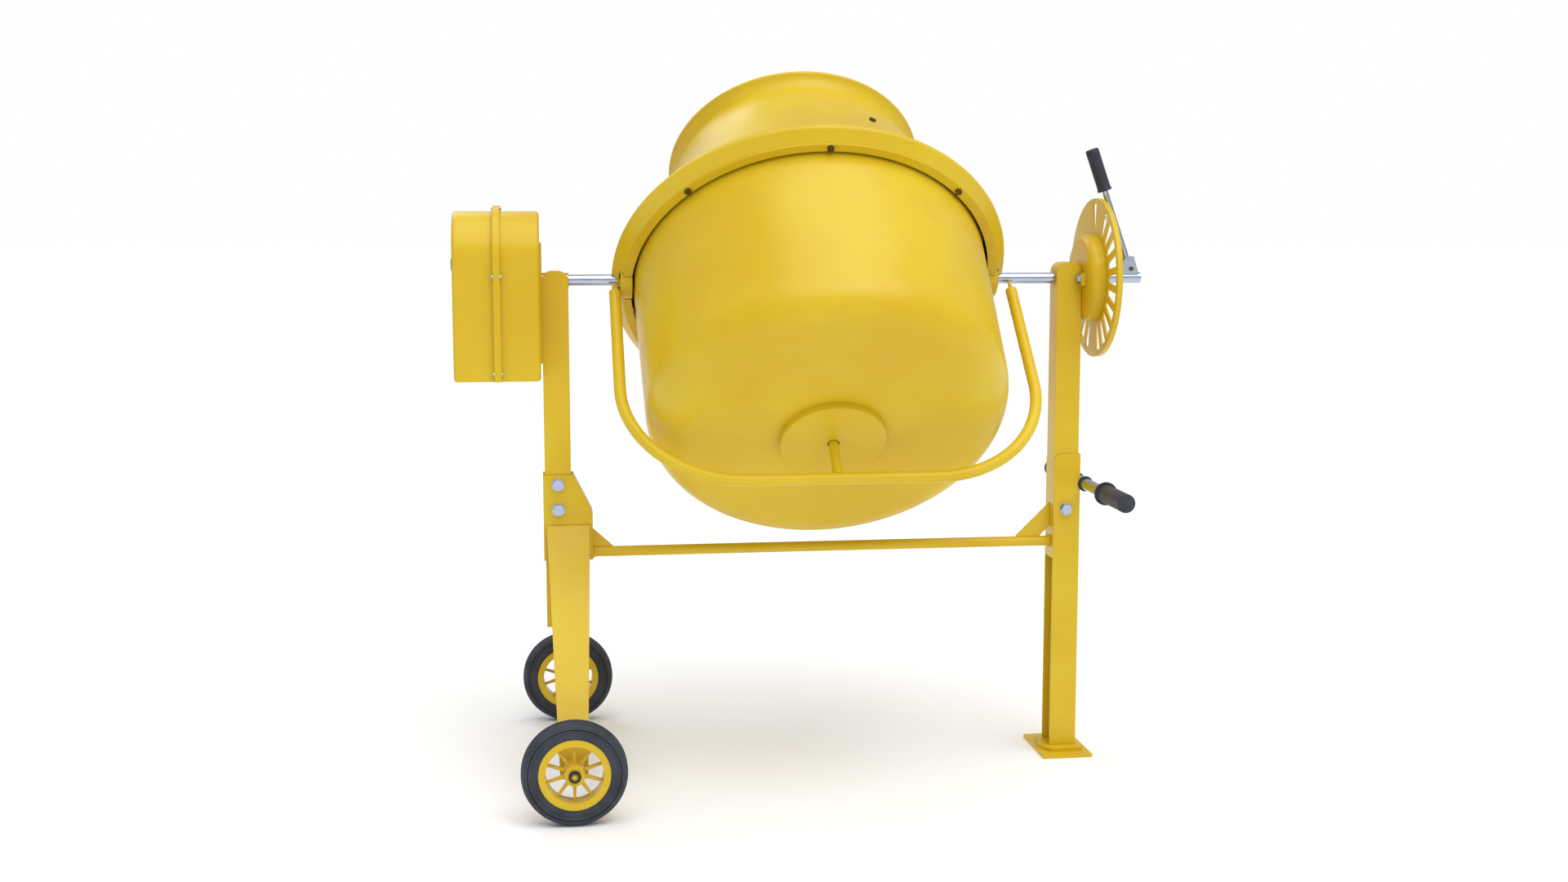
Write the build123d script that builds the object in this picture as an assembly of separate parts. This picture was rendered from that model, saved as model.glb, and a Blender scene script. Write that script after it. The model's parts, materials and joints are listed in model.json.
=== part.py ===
from build123d import *
import math
import os

# Electric concrete mixer on a wheeled stand. Millimetres, +Z up.
# Origin: centre of the foot plate's underside. The tilt axis runs along X, motor side at -X.
# The drum's mouth leans up and back (+Y) at rest.

# --- overall sizes ---
TILT_HEIGHT = 805.0          # floor to tilt axis
POST_SPACING = 846.0         # between the centres of the two posts
DRUM_OFFSET = -10.0          # drum centre from midway between the posts
REST_TILT = 46.5             # drum axis from the vertical, towards +Y
WHEEL_TRACK = 584.0          # between the centres of the two wheels
WHEEL_RADIUS = 80.0

# --- clearances ---
RUNNING = 0.05               # radial, shaft in a bush or bearing
LOOSE = 0.3                  # between a moving piece and what it passes
WELD_SINK = 1.0              # a round bar's flat seat on a plate

# --- drum ---
DRUM_RADIUS = 288.0
DRUM_WALL = 2.0
BOWL_DEPTH = 336.0           # tilt axis down to the drum's bottom
BOWL_TAPER = 7.0             # radius lost between the flange and the corner
BOWL_CORNER = 68.0
FLANGE_WIDTH = 14.0
FLANGE_THICK = 2.5
NECK_RADIUS = 203.0
NECK_LEVEL = 240.0
NECK_HOLLOW = 5.0            # how far the cone bows inwards at half height
SHOULDER_STEP = 3.0          # cone's foot inside the bowl's radius
SHOULDER_LEVEL = 44.0
LIP_RADIUS = 210.6
LIP_LEVEL = 262.6
LIP_BEAD = 4.2
HUB_DISC_RADIUS = 81.5
HUB_DISC_DEPTH = 12.7
HUB_DISC_WALL = 3.0
SPINDLE_RADIUS = 7.5
SPINDLE_TOP = -284.0
BEARING_RADIUS = 17.5
BEARING_WIDTH = 11.0
HOUSING_WALL = 7.0
HOUSING_FLANGE_RADIUS = 46.0
HOUSING_FLANGE = 5.0
HOUSING_TOP = -270.0

# --- mixing blades ---
BLADE_ANGLES = (-35.6, 144.4)
BLADE_LEVEL = 44.0
BLADE_TILT = 57.2
BLADE_BOLT_LEVELS = (-57.0, 128.5)
BLADE_NECK_GAP = 7.0         # neck's radius to the blades' inner edge
BLADE_REACH = 190.0
BLADE_ROUND = 30.0
BLADE_THICK = 4.0
BLADE_FOOT = 28.0
BLADE_OFFSET = 13.0          # blade's plane to its bolts

# --- ring gear, pinion and their guard ---
RING_TEETH = 164
RING_SEGMENTS = 4
PINION_TEETH = 10
GEAR_GAP = 3.0               # bowl's wall to the ring gear
TOOTH_ADDENDUM = 2.7
TOOTH_DEDENDUM = 4.2
TOOTH_SHARE = 0.37           # tooth thickness over pitch at the pitch line
PRESSURE_ANGLE = 20.0
RING_BACK = 3.72             # tooth root to the bowl's flange
GUARD_RIDGE_OUT = 21.0       # radii beyond the flange's
GUARD_RIDGE_LEVEL = 4.8
GUARD_LOW_OUT = 3.4
GUARD_LOW_LEVEL = -15.0
GUARD_TOP_OUT = 4.0
GUARD_TOP_LEVEL = 30.0
GUARD_WALL = 2.0
GUARD_SLOT_GAP = 1.0         # tilt shaft to the guard's halves at each trunnion
GUARD_BEND = 8.0             # radius of the guard's ridge
LIP_RING_GAP = 3.5           # bowl's wall to the guard's lip rings
LIP_RING_THICK = 3.0
CUP_RADIUS = 30.0
CUP_WALL = 4.0
CUP_WIDTH = 19.0
CUP_GAP = 2.0                # bowl's wall to the cup
CUP_OPEN_LEVEL = 12.0        # the cup is cut away above this for the ring gear
HANGER_GAP = 2.5             # cup's back to the hanger plate
HANGER_THICK = 3.0
HANGER_HALF = 27.0

# --- shafts ---
SHAFT_RADIUS = 9.0
DRIVE_RADIUS = 6.0
SHAFT_BEYOND_PIVOT = 17.5    # lever's pivot to the tilt shaft's free end
BUSH_WALL = 3.0
BUSH_PROUD = 1.0

# --- yoke ---
YOKE_TUBE = 9.25
YOKE_WALL = 2.0
YOKE_GAP = 38.0              # bowl's wall to the middle of an arm
YOKE_SHIFT = 8.0             # middle of the arms from the drum axis
YOKE_DEPTH = 416.0
YOKE_BEND = 182.0
YOKE_ARM_TOP = 28.0
TAB_WIDTH = 11.0
TAB_THICK = 4.0

# --- posts, legs and foot ---
POST_SIZE = 42.0
POST_WALL = 2.5
MOTOR_POST_TOP = 15.0        # above the tilt axis
MOTOR_POST_ROUND = 16.0
MOTOR_POST_BOTTOM = 242.0
LEVER_POST_TOP = 26.7
LEVER_POST_BOTTOM = 335.0
PLATE = 3.0                  # folded sheet of brackets and legs
CHANNEL_TOP = 512.0
CHANNEL_ROUND = 12.0
FOOT_LENGTH = 130.0
FOOT_WIDTH = 84.0
FOOT_THICK = 6.0
STIFFENER_THICK = 6.0
STIFFENER_OUT = 7.0          # leg's face to the stiffener's edge, along X
STIFFENER_SIDE = 20.0        # leg's face to the stiffener's edge, along Y
STIFFENER_BULGE = 6.0
BRACKET_TOP = 492.0
BRACKET_SHOULDER = 432.0
BRACKET_BOTTOM = 352.5
BRACKET_BOLT_DROPS = (15.5, 56.5)   # bracket's top to each bolt
BRACKET_MARGIN = 1.0         # bracket's inside to the post, across
BRACKET_SPREAD = 30.0        # how much wider the bracket is below its shoulder
FLANGE_GAP = 1.0             # half the gap between the two brackets' side flanges
LEG_TOP = 410.0
LEG_BOTTOM = 62.0
LEG_TOP_WIDTH = 70.0
LEG_BOTTOM_WIDTH = 42.0
LEG_DEPTH = 28.0
LEG_TO_WHEEL = 26.0          # wheel centre plane to the leg's lower end
BAR_RADIUS = 8.5
BAR_HEIGHT = 361.5
GUSSET_THICK = 4.0
GUSSET_LAP = 3.0             # how far the gussets reach down the bar
STRIP_REACH = 58.0           # lever side's diagonal strip, along the bar and up the leg
STRIP_WIDTH = 40.0
CORNER_REACH = 33.0          # motor side's corner plate, along the bar
CORNER_RISE = 31.0

# --- wheels ---
AXLE_RADIUS = 8.0
TYRE_WIDTH = 36.0
TYRE_ROUND = 9.0
RIM_RADIUS = 54.4
RIM_OPENING = 43.5
RIM_WIDTH = 32.0
HUB_RADIUS = 15.3
HUB_LENGTH = 42.0
SPOKES = 10
SPOKE_THICK = 5.0
SPOKE_ROOT = 6.5
SPOKE_TIP = 3.5
CAP_RADIUS = 9.2
CAP_DEPTH = 6.0

# --- transport handle ---
HANDLE_HEIGHT = 461.0
HANDLE_RADIUS = 10.0
HANDLE_FRONT = 238.0         # post centre to the bar's front end
HANDLE_REAR = 172.0
GRIP_RADIUS = 15.0
GRIP_LENGTH = 100.0
COLLAR_RADIUS = 19.0
COLLAR_THICK = 3.0
POST_COLLAR_RADIUS = 13.0
POST_COLLAR_THICK = 1.5
PLUG_THICK = 3.0

# --- lock disc and tilt lever ---
DISC_RADIUS = 131.5
DISC_GAP = 26.0              # lever-side post's face to the disc
DISC_PLATE = 3.0
DISC_RIM = 8.5
RIM_WALL = 2.5
SLOT_INNER = 80.0
SLOT_OUTER = 122.0
SLOT_PITCH = 15.0
SPOKE_WIDTH = 11.6
DOME_RADIUS = 73.0
DOME_ROUND = 14.0
DOME_WALL = 2.5
LUG_GAP = 2.0                # lever-side post's side to the lugs
LUG_RADIUS = 9.0
LUG_THICK = 7.0
PIVOT_REACH = 62.5           # disc to the lever's pivot
PIVOT_RISE = 6.0             # tilt shaft's top to the lever's pivot
LEVER_LEAN = 19.6
LEVER_ROD = 5.0
LEVER_EYE = 4.2
LEVER_LENGTH = 205.0
LEVER_GRIP_RADIUS = 11.0
LEVER_GRIP_LENGTH = 72.0
PIN_RADIUS = 5.0
PIN_HEIGHT = 101.0
PIN_CLEAR = 1.0
CHEEK_THICK = 2.5
CHEEK_GAP = 12.0
CHEEK_BEFORE = 27.0          # lever's pivot to the bracket's ends
CHEEK_AFTER = 13.0
CHEEK_HEIGHT = 30.0
CHEEK_SLOPES = (22.0, 9.0)   # how much narrower the bracket is on top, from its free end

# --- drive housing and what it holds ---
MOUNT_THICK = 3.0            # plate between the motor-side post and the housing
MOUNT_HALF = 50.0
MOUNT_LOW = -130.0
MOUNT_HIGH = 60.0
SCREW_HEAD = 2.5
SCREW_HEAD_SHARE = 1.7       # screw head's radius over the thread's
CASE_WIDTH = 136.0
CASE_SEAM = 67.0             # housing's inner face to the seam
CASE_HALF = 75.0
CASE_TOP = 110.0
CASE_BOTTOM = -156.0
CASE_WALL = 2.0
CASE_EDGE = 6.0
BAND_WIDTH = 11.0
BAND_PROUD = 9.0
MOTOR_Y = 0.0
MOTOR_Z = -100.0
MOTOR_RADIUS = 50.0
MOTOR_LENGTH = 76.0
MOTOR_SHAFT_RADIUS = 6.0
MOTOR_EDGE = 5.0
MOTOR_FINS = 18
FIN_MARGIN = 12.0            # motor's ends to the grooves between its fins
FIN_GROOVE = 2.4
FIN_DEPTH = 3.0
MOTOR_FOOT_ANGLES = (120, 180, 240)
MOTOR_FOOT_RADIUS = 5.0
MOTOR_FOOT_INSET = 8.0
PULLEY_INSET = 23.0          # housing's inner face to the belt
PULLEY_WIDTH = 16.0
LARGE_PULLEY = 60.0
SMALL_PULLEY = 20.0
PULLEY_HUB = 18.0
PULLEY_WEB = 2.5             # half the web's thickness
BELT_WIDTH = 8.0
BELT_THICK = 5.0
BELT_GAP = 0.4
FAN_RADIUS = 42.0
FAN_BLADES = 7
FAN_HUB = 13.0
FAN_WIDTH = 8.0
FAN_DISC = 1.5
CAPACITOR_RADIUS = 18.0
CAPACITOR_LENGTH = 68.0
CAPACITOR_Y = 40.0
CAPACITOR_Z = 12.0
SWITCH_Y = -31.0
SWITCH_Z = 2.0
SWITCH_WIDTH = 64.0
SWITCH_HEIGHT = 90.0
SWITCH_DEPTH = 38.0
BUTTON_RADIUS = 10.0
BUTTON_TRAVEL = 3.0
BUTTON_RISE = 25.0
BUTTON_PITCH = 30.0
INLET_RADIUS = 17.0
INLET_DEPTH = 24.0
INLET_DROP = 25.0

# --- fasteners ---
M10 = 5.0                    # thread radii
M8 = 4.0
M6 = 3.0
M4 = 2.0
HEX_SIZE = 1.9               # hexagon's corner radius over the thread's
HEAD_HEIGHT = 1.3            # over the thread's radius, as are the next four
NUT_HEIGHT = 1.6
WASHER_HEIGHT = 0.3
WASHER_RADIUS = 2.1
THREAD_SHOWN = 2.2           # bolt's end beyond what it clamps

# --- derived places ---
DRUM_X = -POST_SPACING / 2 + DRUM_OFFSET
MOTOR_POST_X = -POST_SPACING
HALF_POST = POST_SIZE / 2
BOWL_BASE_RADIUS = DRUM_RADIUS - BOWL_TAPER
SHOULDER_RADIUS = DRUM_RADIUS - SHOULDER_STEP
FLANGE_RADIUS = DRUM_RADIUS + FLANGE_WIDTH
GEAR_INNER = DRUM_RADIUS + GEAR_GAP
GEAR_OUTER = FLANGE_RADIUS
GUARD_RIDGE_RADIUS = FLANGE_RADIUS + GUARD_RIDGE_OUT
GUARD_LOW_RADIUS = FLANGE_RADIUS + GUARD_LOW_OUT
GUARD_TOP_RADIUS = FLANGE_RADIUS + GUARD_TOP_OUT
LIP_RING_INNER = DRUM_RADIUS + LIP_RING_GAP
GUARD_BOLT_CIRCLE = (LIP_RING_INNER + GUARD_LOW_RADIUS) / 2
CUP_START = DRUM_RADIUS + CUP_GAP
YOKE_ARM = DRUM_RADIUS + YOKE_GAP
RING_MEAN = (GEAR_INNER + GEAR_OUTER) / 2
MODULE = 2 * RING_MEAN / RING_TEETH
PINION_PITCH_RADIUS = MODULE * PINION_TEETH / 2
GEAR_ROOT_LEVEL = PINION_PITCH_RADIUS + TOOTH_DEDENDUM
GEAR_TIP_LEVEL = PINION_PITCH_RADIUS - TOOTH_ADDENDUM
CUP_END = CUP_START + CUP_WIDTH
HANGER_START = CUP_END + HANGER_GAP
FLANGE_LEVEL = GEAR_ROOT_LEVEL + RING_BACK
CONE_TOP_FLANGE = FLANGE_LEVEL + 2 * FLANGE_THICK
BRACKET_LEFT = MOTOR_POST_X - HALF_POST - PLATE
BRACKET_TOP_WIDTH = POST_SIZE + 2 * PLATE + BRACKET_MARGIN
BRACKET_WIDTH = BRACKET_TOP_WIDTH + BRACKET_SPREAD
LEG_X = BRACKET_LEFT + BRACKET_WIDTH / 2
LEG_OUTER_Y = HALF_POST + PLATE
WHEEL_Y = WHEEL_TRACK / 2
CHANNEL_FACE = HALF_POST + PLATE
HANDLE_X = CHANNEL_FACE + HANDLE_RADIUS - WELD_SINK
CASE_INNER = MOTOR_POST_X - HALF_POST - MOUNT_THICK
CASE_OUTER = CASE_INNER - CASE_WIDTH
SEAM_X = CASE_INNER - CASE_SEAM
BELT_X = CASE_INNER - PULLEY_INSET
MOTOR_FRONT = BELT_X - PULLEY_WIDTH / 2 - 14.0
MOTOR_BACK = MOTOR_FRONT - MOTOR_LENGTH
DISC_START = HALF_POST + DISC_GAP
LUG_OFFSET = HALF_POST + LUG_GAP + LUG_RADIUS
GUARD_SLOT = 2 * (SHAFT_RADIUS + GUARD_SLOT_GAP)
LEVER_PIVOT_X = DISC_START + PIVOT_REACH
LEVER_PIVOT_Z = SHAFT_RADIUS + PIVOT_RISE
SHAFT_END = LEVER_PIVOT_X + SHAFT_BEYOND_PIVOT
DOME_START = HALF_POST + 0.5
LEVER_TILT_TAN = math.tan(math.radians(LEVER_LEAN))

DRUM_FRAME = Pos(DRUM_X, 0, TILT_HEIGHT) * Rot(-REST_TILT, 0, 0)
AXIS_LEVEL = Pos(0, 0, TILT_HEIGHT)
LEVER_FRAME = Pos(LEVER_PIVOT_X, 0, TILT_HEIGHT + LEVER_PIVOT_Z) * Rot(0, -LEVER_LEAN, 0)


# --- small helpers ---
def block(x0, x1, y0, y1, z0, z1):
    """Box between two opposite corners."""
    centre = Pos((x0 + x1) / 2, (y0 + y1) / 2, (z0 + z1) / 2)
    return centre * Box(abs(x1 - x0), abs(y1 - y0), abs(z1 - z0))


def rod_x(x0, x1, radius, y=0.0, z=0.0):
    return Pos((x0 + x1) / 2, y, z) * Rot(0, 90, 0) * Cylinder(radius, abs(x1 - x0))


def rod_y(y0, y1, radius, x=0.0, z=0.0):
    return Pos(x, (y0 + y1) / 2, z) * Rot(90, 0, 0) * Cylinder(radius, abs(y1 - y0))


def rod_z(z0, z1, radius, x=0.0, y=0.0):
    return Pos(x, y, (z0 + z1) / 2) * Cylinder(radius, abs(z1 - z0))


def turned(*edges):
    """Solid of revolution about Z from a closed (radius, height) outline."""
    return revolve(Plane.XZ * make_face(edges), Axis.Z)


def plate_xz(points, y0, y1):
    """Flat plate with an (x, z) outline between two Y planes."""
    face = Plane.XZ * make_face(Polyline(*points, close=True))
    return Pos(0, y1, 0) * extrude(face, y1 - y0)


def plate_yz(points, x0, x1):
    """Flat plate with a (y, z) outline between two X planes."""
    face = Plane.YZ * make_face(Polyline(*points, close=True))
    return Pos(x0, 0, 0) * extrude(face, x1 - x0)


def group(*shapes):
    """Separate solids that share one node."""
    return Compound([solid for shape in shapes for solid in shape.solids()])


def hex_bolt(radius, length, washer=True):
    """Hex bolt along -Z with its seat at the origin and its head above."""
    body = extrude(RegularPolygon(HEX_SIZE * radius, 6), HEAD_HEIGHT * radius)
    body = body + rod_z(-length, 0, radius)
    if washer:
        lift = WASHER_HEIGHT * radius
        body = Pos(0, 0, lift) * body + rod_z(0, lift, WASHER_RADIUS * radius)
    return body


def hex_nut(radius):
    """Hex nut above its seat at the origin, on a bolt of the given radius."""
    return extrude(RegularPolygon(HEX_SIZE * radius, 6), NUT_HEIGHT * radius) - rod_z(-1, 2 * radius, radius)


# --- stand ---
def motor_side_post():
    top = TILT_HEIGHT + MOTOR_POST_TOP
    body = block(-HALF_POST, HALF_POST, -HALF_POST, HALF_POST, MOTOR_POST_BOTTOM, top)
    ridges = body.edges().filter_by(Axis.Y).group_by(Axis.Z)[-1]
    body = fillet(ridges, min(MOTOR_POST_ROUND, HALF_POST - 1))
    inside = HALF_POST - POST_WALL
    cavity = block(-inside, inside, -inside, inside, MOTOR_POST_BOTTOM - 1, top - POST_WALL)
    ridges = cavity.edges().filter_by(Axis.Y).group_by(Axis.Z)[-1]
    body = body - fillet(ridges, min(MOTOR_POST_ROUND, HALF_POST - 1) - POST_WALL)
    body = body - rod_x(-POST_SIZE, POST_SIZE, SHAFT_RADIUS + BUSH_WALL, 0, TILT_HEIGHT)
    for height in bracket_bolt_heights():
        body = body - rod_y(-POST_SIZE, POST_SIZE, M10, 0, height)
    return Pos(MOTOR_POST_X, 0, 0) * body


def bracket_bolt_heights():
    return [BRACKET_TOP - drop for drop in BRACKET_BOLT_DROPS]


def leg_bolt_height():
    return (BAR_HEIGHT + CHANNEL_TOP) / 2 - 18


def lever_side_post():
    top = TILT_HEIGHT + LEVER_POST_TOP
    body = block(-HALF_POST, HALF_POST, -HALF_POST, HALF_POST, LEVER_POST_BOTTOM, top)
    body = fillet(body.edges().filter_by(Axis.Y).group_by(Axis.Z)[-1], MOTOR_POST_ROUND)
    inside = HALF_POST - POST_WALL
    body = body - block(-inside, inside, -inside, inside, LEVER_POST_BOTTOM - 1, top - MOTOR_POST_ROUND)
    body = body - rod_x(-POST_SIZE, POST_SIZE, SHAFT_RADIUS + BUSH_WALL, 0, TILT_HEIGHT)
    return body - rod_y(-POST_SIZE, POST_SIZE, M10, 0, leg_bolt_height())


def lever_side_leg():
    """Folded channel, open towards the other post, with the upper tube seated in it."""
    bottom = FOOT_THICK + STIFFENER_THICK
    face = CHANNEL_FACE
    body = block(-HALF_POST, face, -face, face, bottom, CHANNEL_TOP)
    corner = body.edges().filter_by(Axis.Y).group_by(Axis.Z)[-1].group_by(Axis.X)[0]
    body = fillet(corner, CHANNEL_ROUND)
    body = body - block(-POST_SIZE, HALF_POST, -HALF_POST, HALF_POST, bottom - 1, CHANNEL_TOP + 1)
    return body - rod_y(-POST_SIZE, POST_SIZE, M10, 0, leg_bolt_height())


def foot_plate():
    half_x = FOOT_WIDTH / 2
    half_y = FOOT_LENGTH / 2
    return block(-half_x, half_x, -half_y, half_y, 0, FOOT_THICK)


def foot_stiffener():
    """Small plate under the channel, bulging towards the other post."""
    near = CHANNEL_FACE + STIFFENER_OUT
    half = CHANNEL_FACE + STIFFENER_SIDE
    bulge = STIFFENER_BULGE
    outline = [(near, -half), (near, half), (-near + 4, half - 2), (-near - bulge, 0),
               (-near - bulge / 2, -half + 16),
               (-near + 8, -half)]
    face = make_face(Polyline(*outline, close=True))
    return Pos(0, 0, FOOT_THICK) * extrude(face, STIFFENER_THICK)


def bracket_outline(inset, top_extra):
    """Folded bracket's (x, z) outline, drawn in by the sheet's thickness where asked."""
    right = BRACKET_LEFT + BRACKET_WIDTH - inset
    slope = (BRACKET_WIDTH - BRACKET_TOP_WIDTH) / (BRACKET_TOP - BRACKET_SHOULDER)
    top = BRACKET_TOP + top_extra
    top_right = BRACKET_LEFT + BRACKET_TOP_WIDTH - 1.1 * inset - slope * top_extra
    bottom = BRACKET_BOTTOM - top_extra
    return [(BRACKET_LEFT + inset, bottom), (right, bottom), (right, BRACKET_SHOULDER),
            (top_right, top), (BRACKET_LEFT + inset, top)]


def post_brackets():
    """Front and rear folded plates that clamp the post between them."""
    plate = plate_xz(bracket_outline(0, 0), -LEG_OUTER_Y, -FLANGE_GAP)
    plate = plate - plate_xz(bracket_outline(PLATE, 2), -HALF_POST, HALF_POST)
    for height in bracket_bolt_heights():
        plate = plate - rod_y(-POST_SIZE, POST_SIZE, M10, MOTOR_POST_X, height)
    return group(plate, mirror(plate, Plane.XZ))


def leg_side_outline(inset):
    """Leg seen from the side: sloping outwards from the bracket down to the wheel."""
    top_y = LEG_OUTER_Y + PLATE
    bottom_y = WHEEL_Y - LEG_TO_WHEEL
    slope = (bottom_y - top_y) / (LEG_TOP - LEG_BOTTOM)
    extra = 20.0 if inset else 0.0
    outer_top = top_y - inset * 1.22 - slope * extra
    outer_bottom = bottom_y - inset * 1.22 + slope * extra
    inner = top_y - LEG_DEPTH - extra
    meets = LEG_TOP - (LEG_OUTER_Y - inner) / slope
    outline = [(-outer_top, LEG_TOP + extra), (-LEG_OUTER_Y + extra, LEG_TOP + extra),
               (-LEG_OUTER_Y + extra, meets)]
    inner_bottom = bottom_y - LEG_DEPTH - extra
    return outline + [(-inner_bottom, LEG_BOTTOM - extra), (-outer_bottom, LEG_BOTTOM - extra)]


def leg_front_outline(inset):
    growth = (LEG_TOP_WIDTH - LEG_BOTTOM_WIDTH) / (LEG_TOP - LEG_BOTTOM) / 2
    extra = 20.0 if inset else 0.0
    top = LEG_TOP_WIDTH / 2 - inset + growth * extra
    bottom = LEG_BOTTOM_WIDTH / 2 - inset - growth * extra
    return [(LEG_X - bottom, LEG_BOTTOM - extra), (LEG_X + bottom, LEG_BOTTOM - extra),
            (LEG_X + top, LEG_TOP + extra), (LEG_X - top, LEG_TOP + extra)]


def wheel_legs():
    """Tapered folded channels, front and rear, open towards each other."""
    x0 = LEG_X - BRACKET_WIDTH
    x1 = LEG_X + BRACKET_WIDTH
    reach = WHEEL_Y
    envelope = plate_yz(leg_side_outline(0), x0, x1) & plate_xz(leg_front_outline(0), -reach, reach)
    hollow = plate_yz(leg_side_outline(PLATE), x0, x1) & plate_xz(leg_front_outline(PLATE), -reach, reach)
    front = envelope - hollow - rod_y(-reach, reach, AXLE_RADIUS + RUNNING, LEG_X, WHEEL_RADIUS)
    return group(front, mirror(front, Plane.XZ))


def wheel_axle():
    reach = WHEEL_Y + HUB_LENGTH / 2 + 4
    return rod_y(-reach, reach, AXLE_RADIUS, LEG_X, WHEEL_RADIUS)


def axle_caps():
    """Push-on caps that keep the wheels on the axle."""
    start = WHEEL_Y + HUB_LENGTH / 2 + LOOSE
    end = start + CAP_DEPTH
    cap = fillet(rod_z(0, end - start, CAP_RADIUS).edges().group_by(Axis.Z)[-1], 1.5)
    cap = cap - rod_z(-1, 4 - LOOSE, AXLE_RADIUS)
    front = Pos(LEG_X, -start, WHEEL_RADIUS) * Rot(90, 0, 0) * cap
    return group(front, mirror(front, Plane.XZ))


def crossbar():
    left = BRACKET_LEFT + BRACKET_WIDTH
    return rod_x(left, -HALF_POST, BAR_RADIUS, 0, BAR_HEIGHT)


def crossbar_gussets():
    half = GUSSET_THICK / 2
    top = BAR_HEIGHT + BAR_RADIUS
    low = top - GUSSET_LAP
    right = -HALF_POST
    inner = right - STRIP_REACH + STRIP_WIDTH
    strip = [(right - STRIP_REACH, top + 1), (right - STRIP_REACH, low), (inner, low), (inner, top),
             (right, top + right - inner + 0.5), (right, top + STRIP_REACH)]
    left = BRACKET_LEFT + BRACKET_WIDTH
    corner = [(left, low), (left + CORNER_REACH, low), (left + CORNER_REACH, top + 1),
              (left, top + CORNER_RISE)]
    both = group(plate_xz(strip, -half, half), plate_xz(corner, -half, half))
    return group(both - crossbar())


def frame_bolts():
    """Through bolts with washers and nuts, and the lock disc's two lug bolts."""
    pieces = []
    places = [(MOTOR_POST_X, height) for height in bracket_bolt_heights()]
    places.append((0.0, leg_bolt_height()))
    for x, height in places:
        front = Pos(x, -LEG_OUTER_Y, height) * Rot(90, 0, 0)
        rear = Pos(x, LEG_OUTER_Y, height) * Rot(-90, 0, 0)
        pieces.append(front * hex_bolt(M10, 2 * LEG_OUTER_Y + THREAD_SHOWN * M10))
        pieces.append(rear * hex_nut(M10))
    for side in (-1, 1):
        seat = Pos(DOME_START - LUG_THICK, side * LUG_OFFSET, TILT_HEIGHT) * Rot(0, -90, 0)
        pieces.append(seat * hex_bolt(M8, LUG_THICK + DOME_WALL))
    return group(*pieces)


# --- wheels ---
def place_wheel(shape, side):
    return Pos(LEG_X, side * WHEEL_Y, WHEEL_RADIUS) * Rot(90, 0, 0) * shape


def tyre(side):
    half = TYRE_WIDTH / 2
    body = rod_z(-half, half, WHEEL_RADIUS)
    body = fillet(body.edges(), TYRE_ROUND)
    return place_wheel(body - rod_z(-half - 1, half + 1, RIM_RADIUS), side)


def rim(side):
    """Dished rim, tapered spokes and hub, in one moulding."""
    half = RIM_WIDTH / 2
    ring = rod_z(-half, half, RIM_RADIUS) - rod_z(-half - 1, half + 1, RIM_OPENING)
    body = ring + rod_z(-HUB_LENGTH / 2, HUB_LENGTH / 2, HUB_RADIUS)
    reach = RIM_OPENING + 2
    spoke = make_face(Polyline((0, -SPOKE_ROOT / 2), (reach, -SPOKE_TIP / 2), (reach, SPOKE_TIP / 2),
                               (0, SPOKE_ROOT / 2), close=True))
    blade = Pos(0, 0, -SPOKE_THICK / 2) * extrude(spoke, SPOKE_THICK)
    for turn in range(SPOKES):
        body = body + Rot(0, 0, 90 + turn * 360 / SPOKES) * blade
    return place_wheel(body - rod_z(-HUB_LENGTH, HUB_LENGTH, AXLE_RADIUS + RUNNING), side)


# --- transport handle ---
def handle_bar():
    bar = rod_y(-HANDLE_FRONT, HANDLE_REAR, HANDLE_RADIUS, HANDLE_X, HANDLE_HEIGHT)
    keep_out = block(0, CHANNEL_FACE, -CHANNEL_FACE, CHANNEL_FACE, 0, CHANNEL_TOP)
    return bar - keep_out


def both_ends(shape):
    """Places a piece drawn along -Z on both ends of the handle bar, Z = 0 at the bar's end."""
    front = Pos(HANDLE_X, -HANDLE_FRONT, HANDLE_HEIGHT) * Rot(90, 0, 0) * shape
    rear = Pos(HANDLE_X, HANDLE_REAR, HANDLE_HEIGHT) * Rot(-90, 0, 0) * shape
    return [front, rear]


def handle_grips():
    sleeve = rod_z(-GRIP_LENGTH, 0, GRIP_RADIUS) - rod_z(-GRIP_LENGTH - 1, 1, HANDLE_RADIUS)
    return group(*both_ends(sleeve))


def handle_end_fittings():
    """Grip collars, end plugs and the small rings beside the leg."""
    start = -GRIP_LENGTH - COLLAR_THICK
    collar = rod_z(start, -GRIP_LENGTH, COLLAR_RADIUS) - rod_z(start - 1, 0, HANDLE_RADIUS)
    plug = rod_z(0, PLUG_THICK, GRIP_RADIUS)
    plug = fillet(plug.edges().group_by(Axis.Z)[-1], 1.0)
    far = CHANNEL_FACE + POST_COLLAR_THICK
    ring = rod_y(-far, far, POST_COLLAR_RADIUS, HANDLE_X, HANDLE_HEIGHT)
    ring = ring - rod_y(-far - 1, far + 1, HANDLE_RADIUS, HANDLE_X, HANDLE_HEIGHT)
    ring = ring - block(-HALF_POST, 2 * HANDLE_X, -CHANNEL_FACE, CHANNEL_FACE, 0, CHANNEL_TOP)
    return group(*both_ends(collar), *both_ends(plug), ring)


# --- posts' bushes and the lock disc ---
def post_bushes():
    half = HALF_POST + BUSH_PROUD
    bush = rod_x(-half, half, SHAFT_RADIUS + BUSH_WALL) - rod_x(-POST_SIZE, POST_SIZE, SHAFT_RADIUS + RUNNING)
    return group(Pos(MOTOR_POST_X, 0, TILT_HEIGHT) * bush, AXIS_LEVEL * bush)


def slot_angles():
    """Slot directions from straight up, towards the front."""
    near = [0.0] + [SLOT_PITCH * step for step in range(2, 12)]
    far = [SLOT_PITCH * step for step in range(13, 17)]
    return near + far


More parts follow.
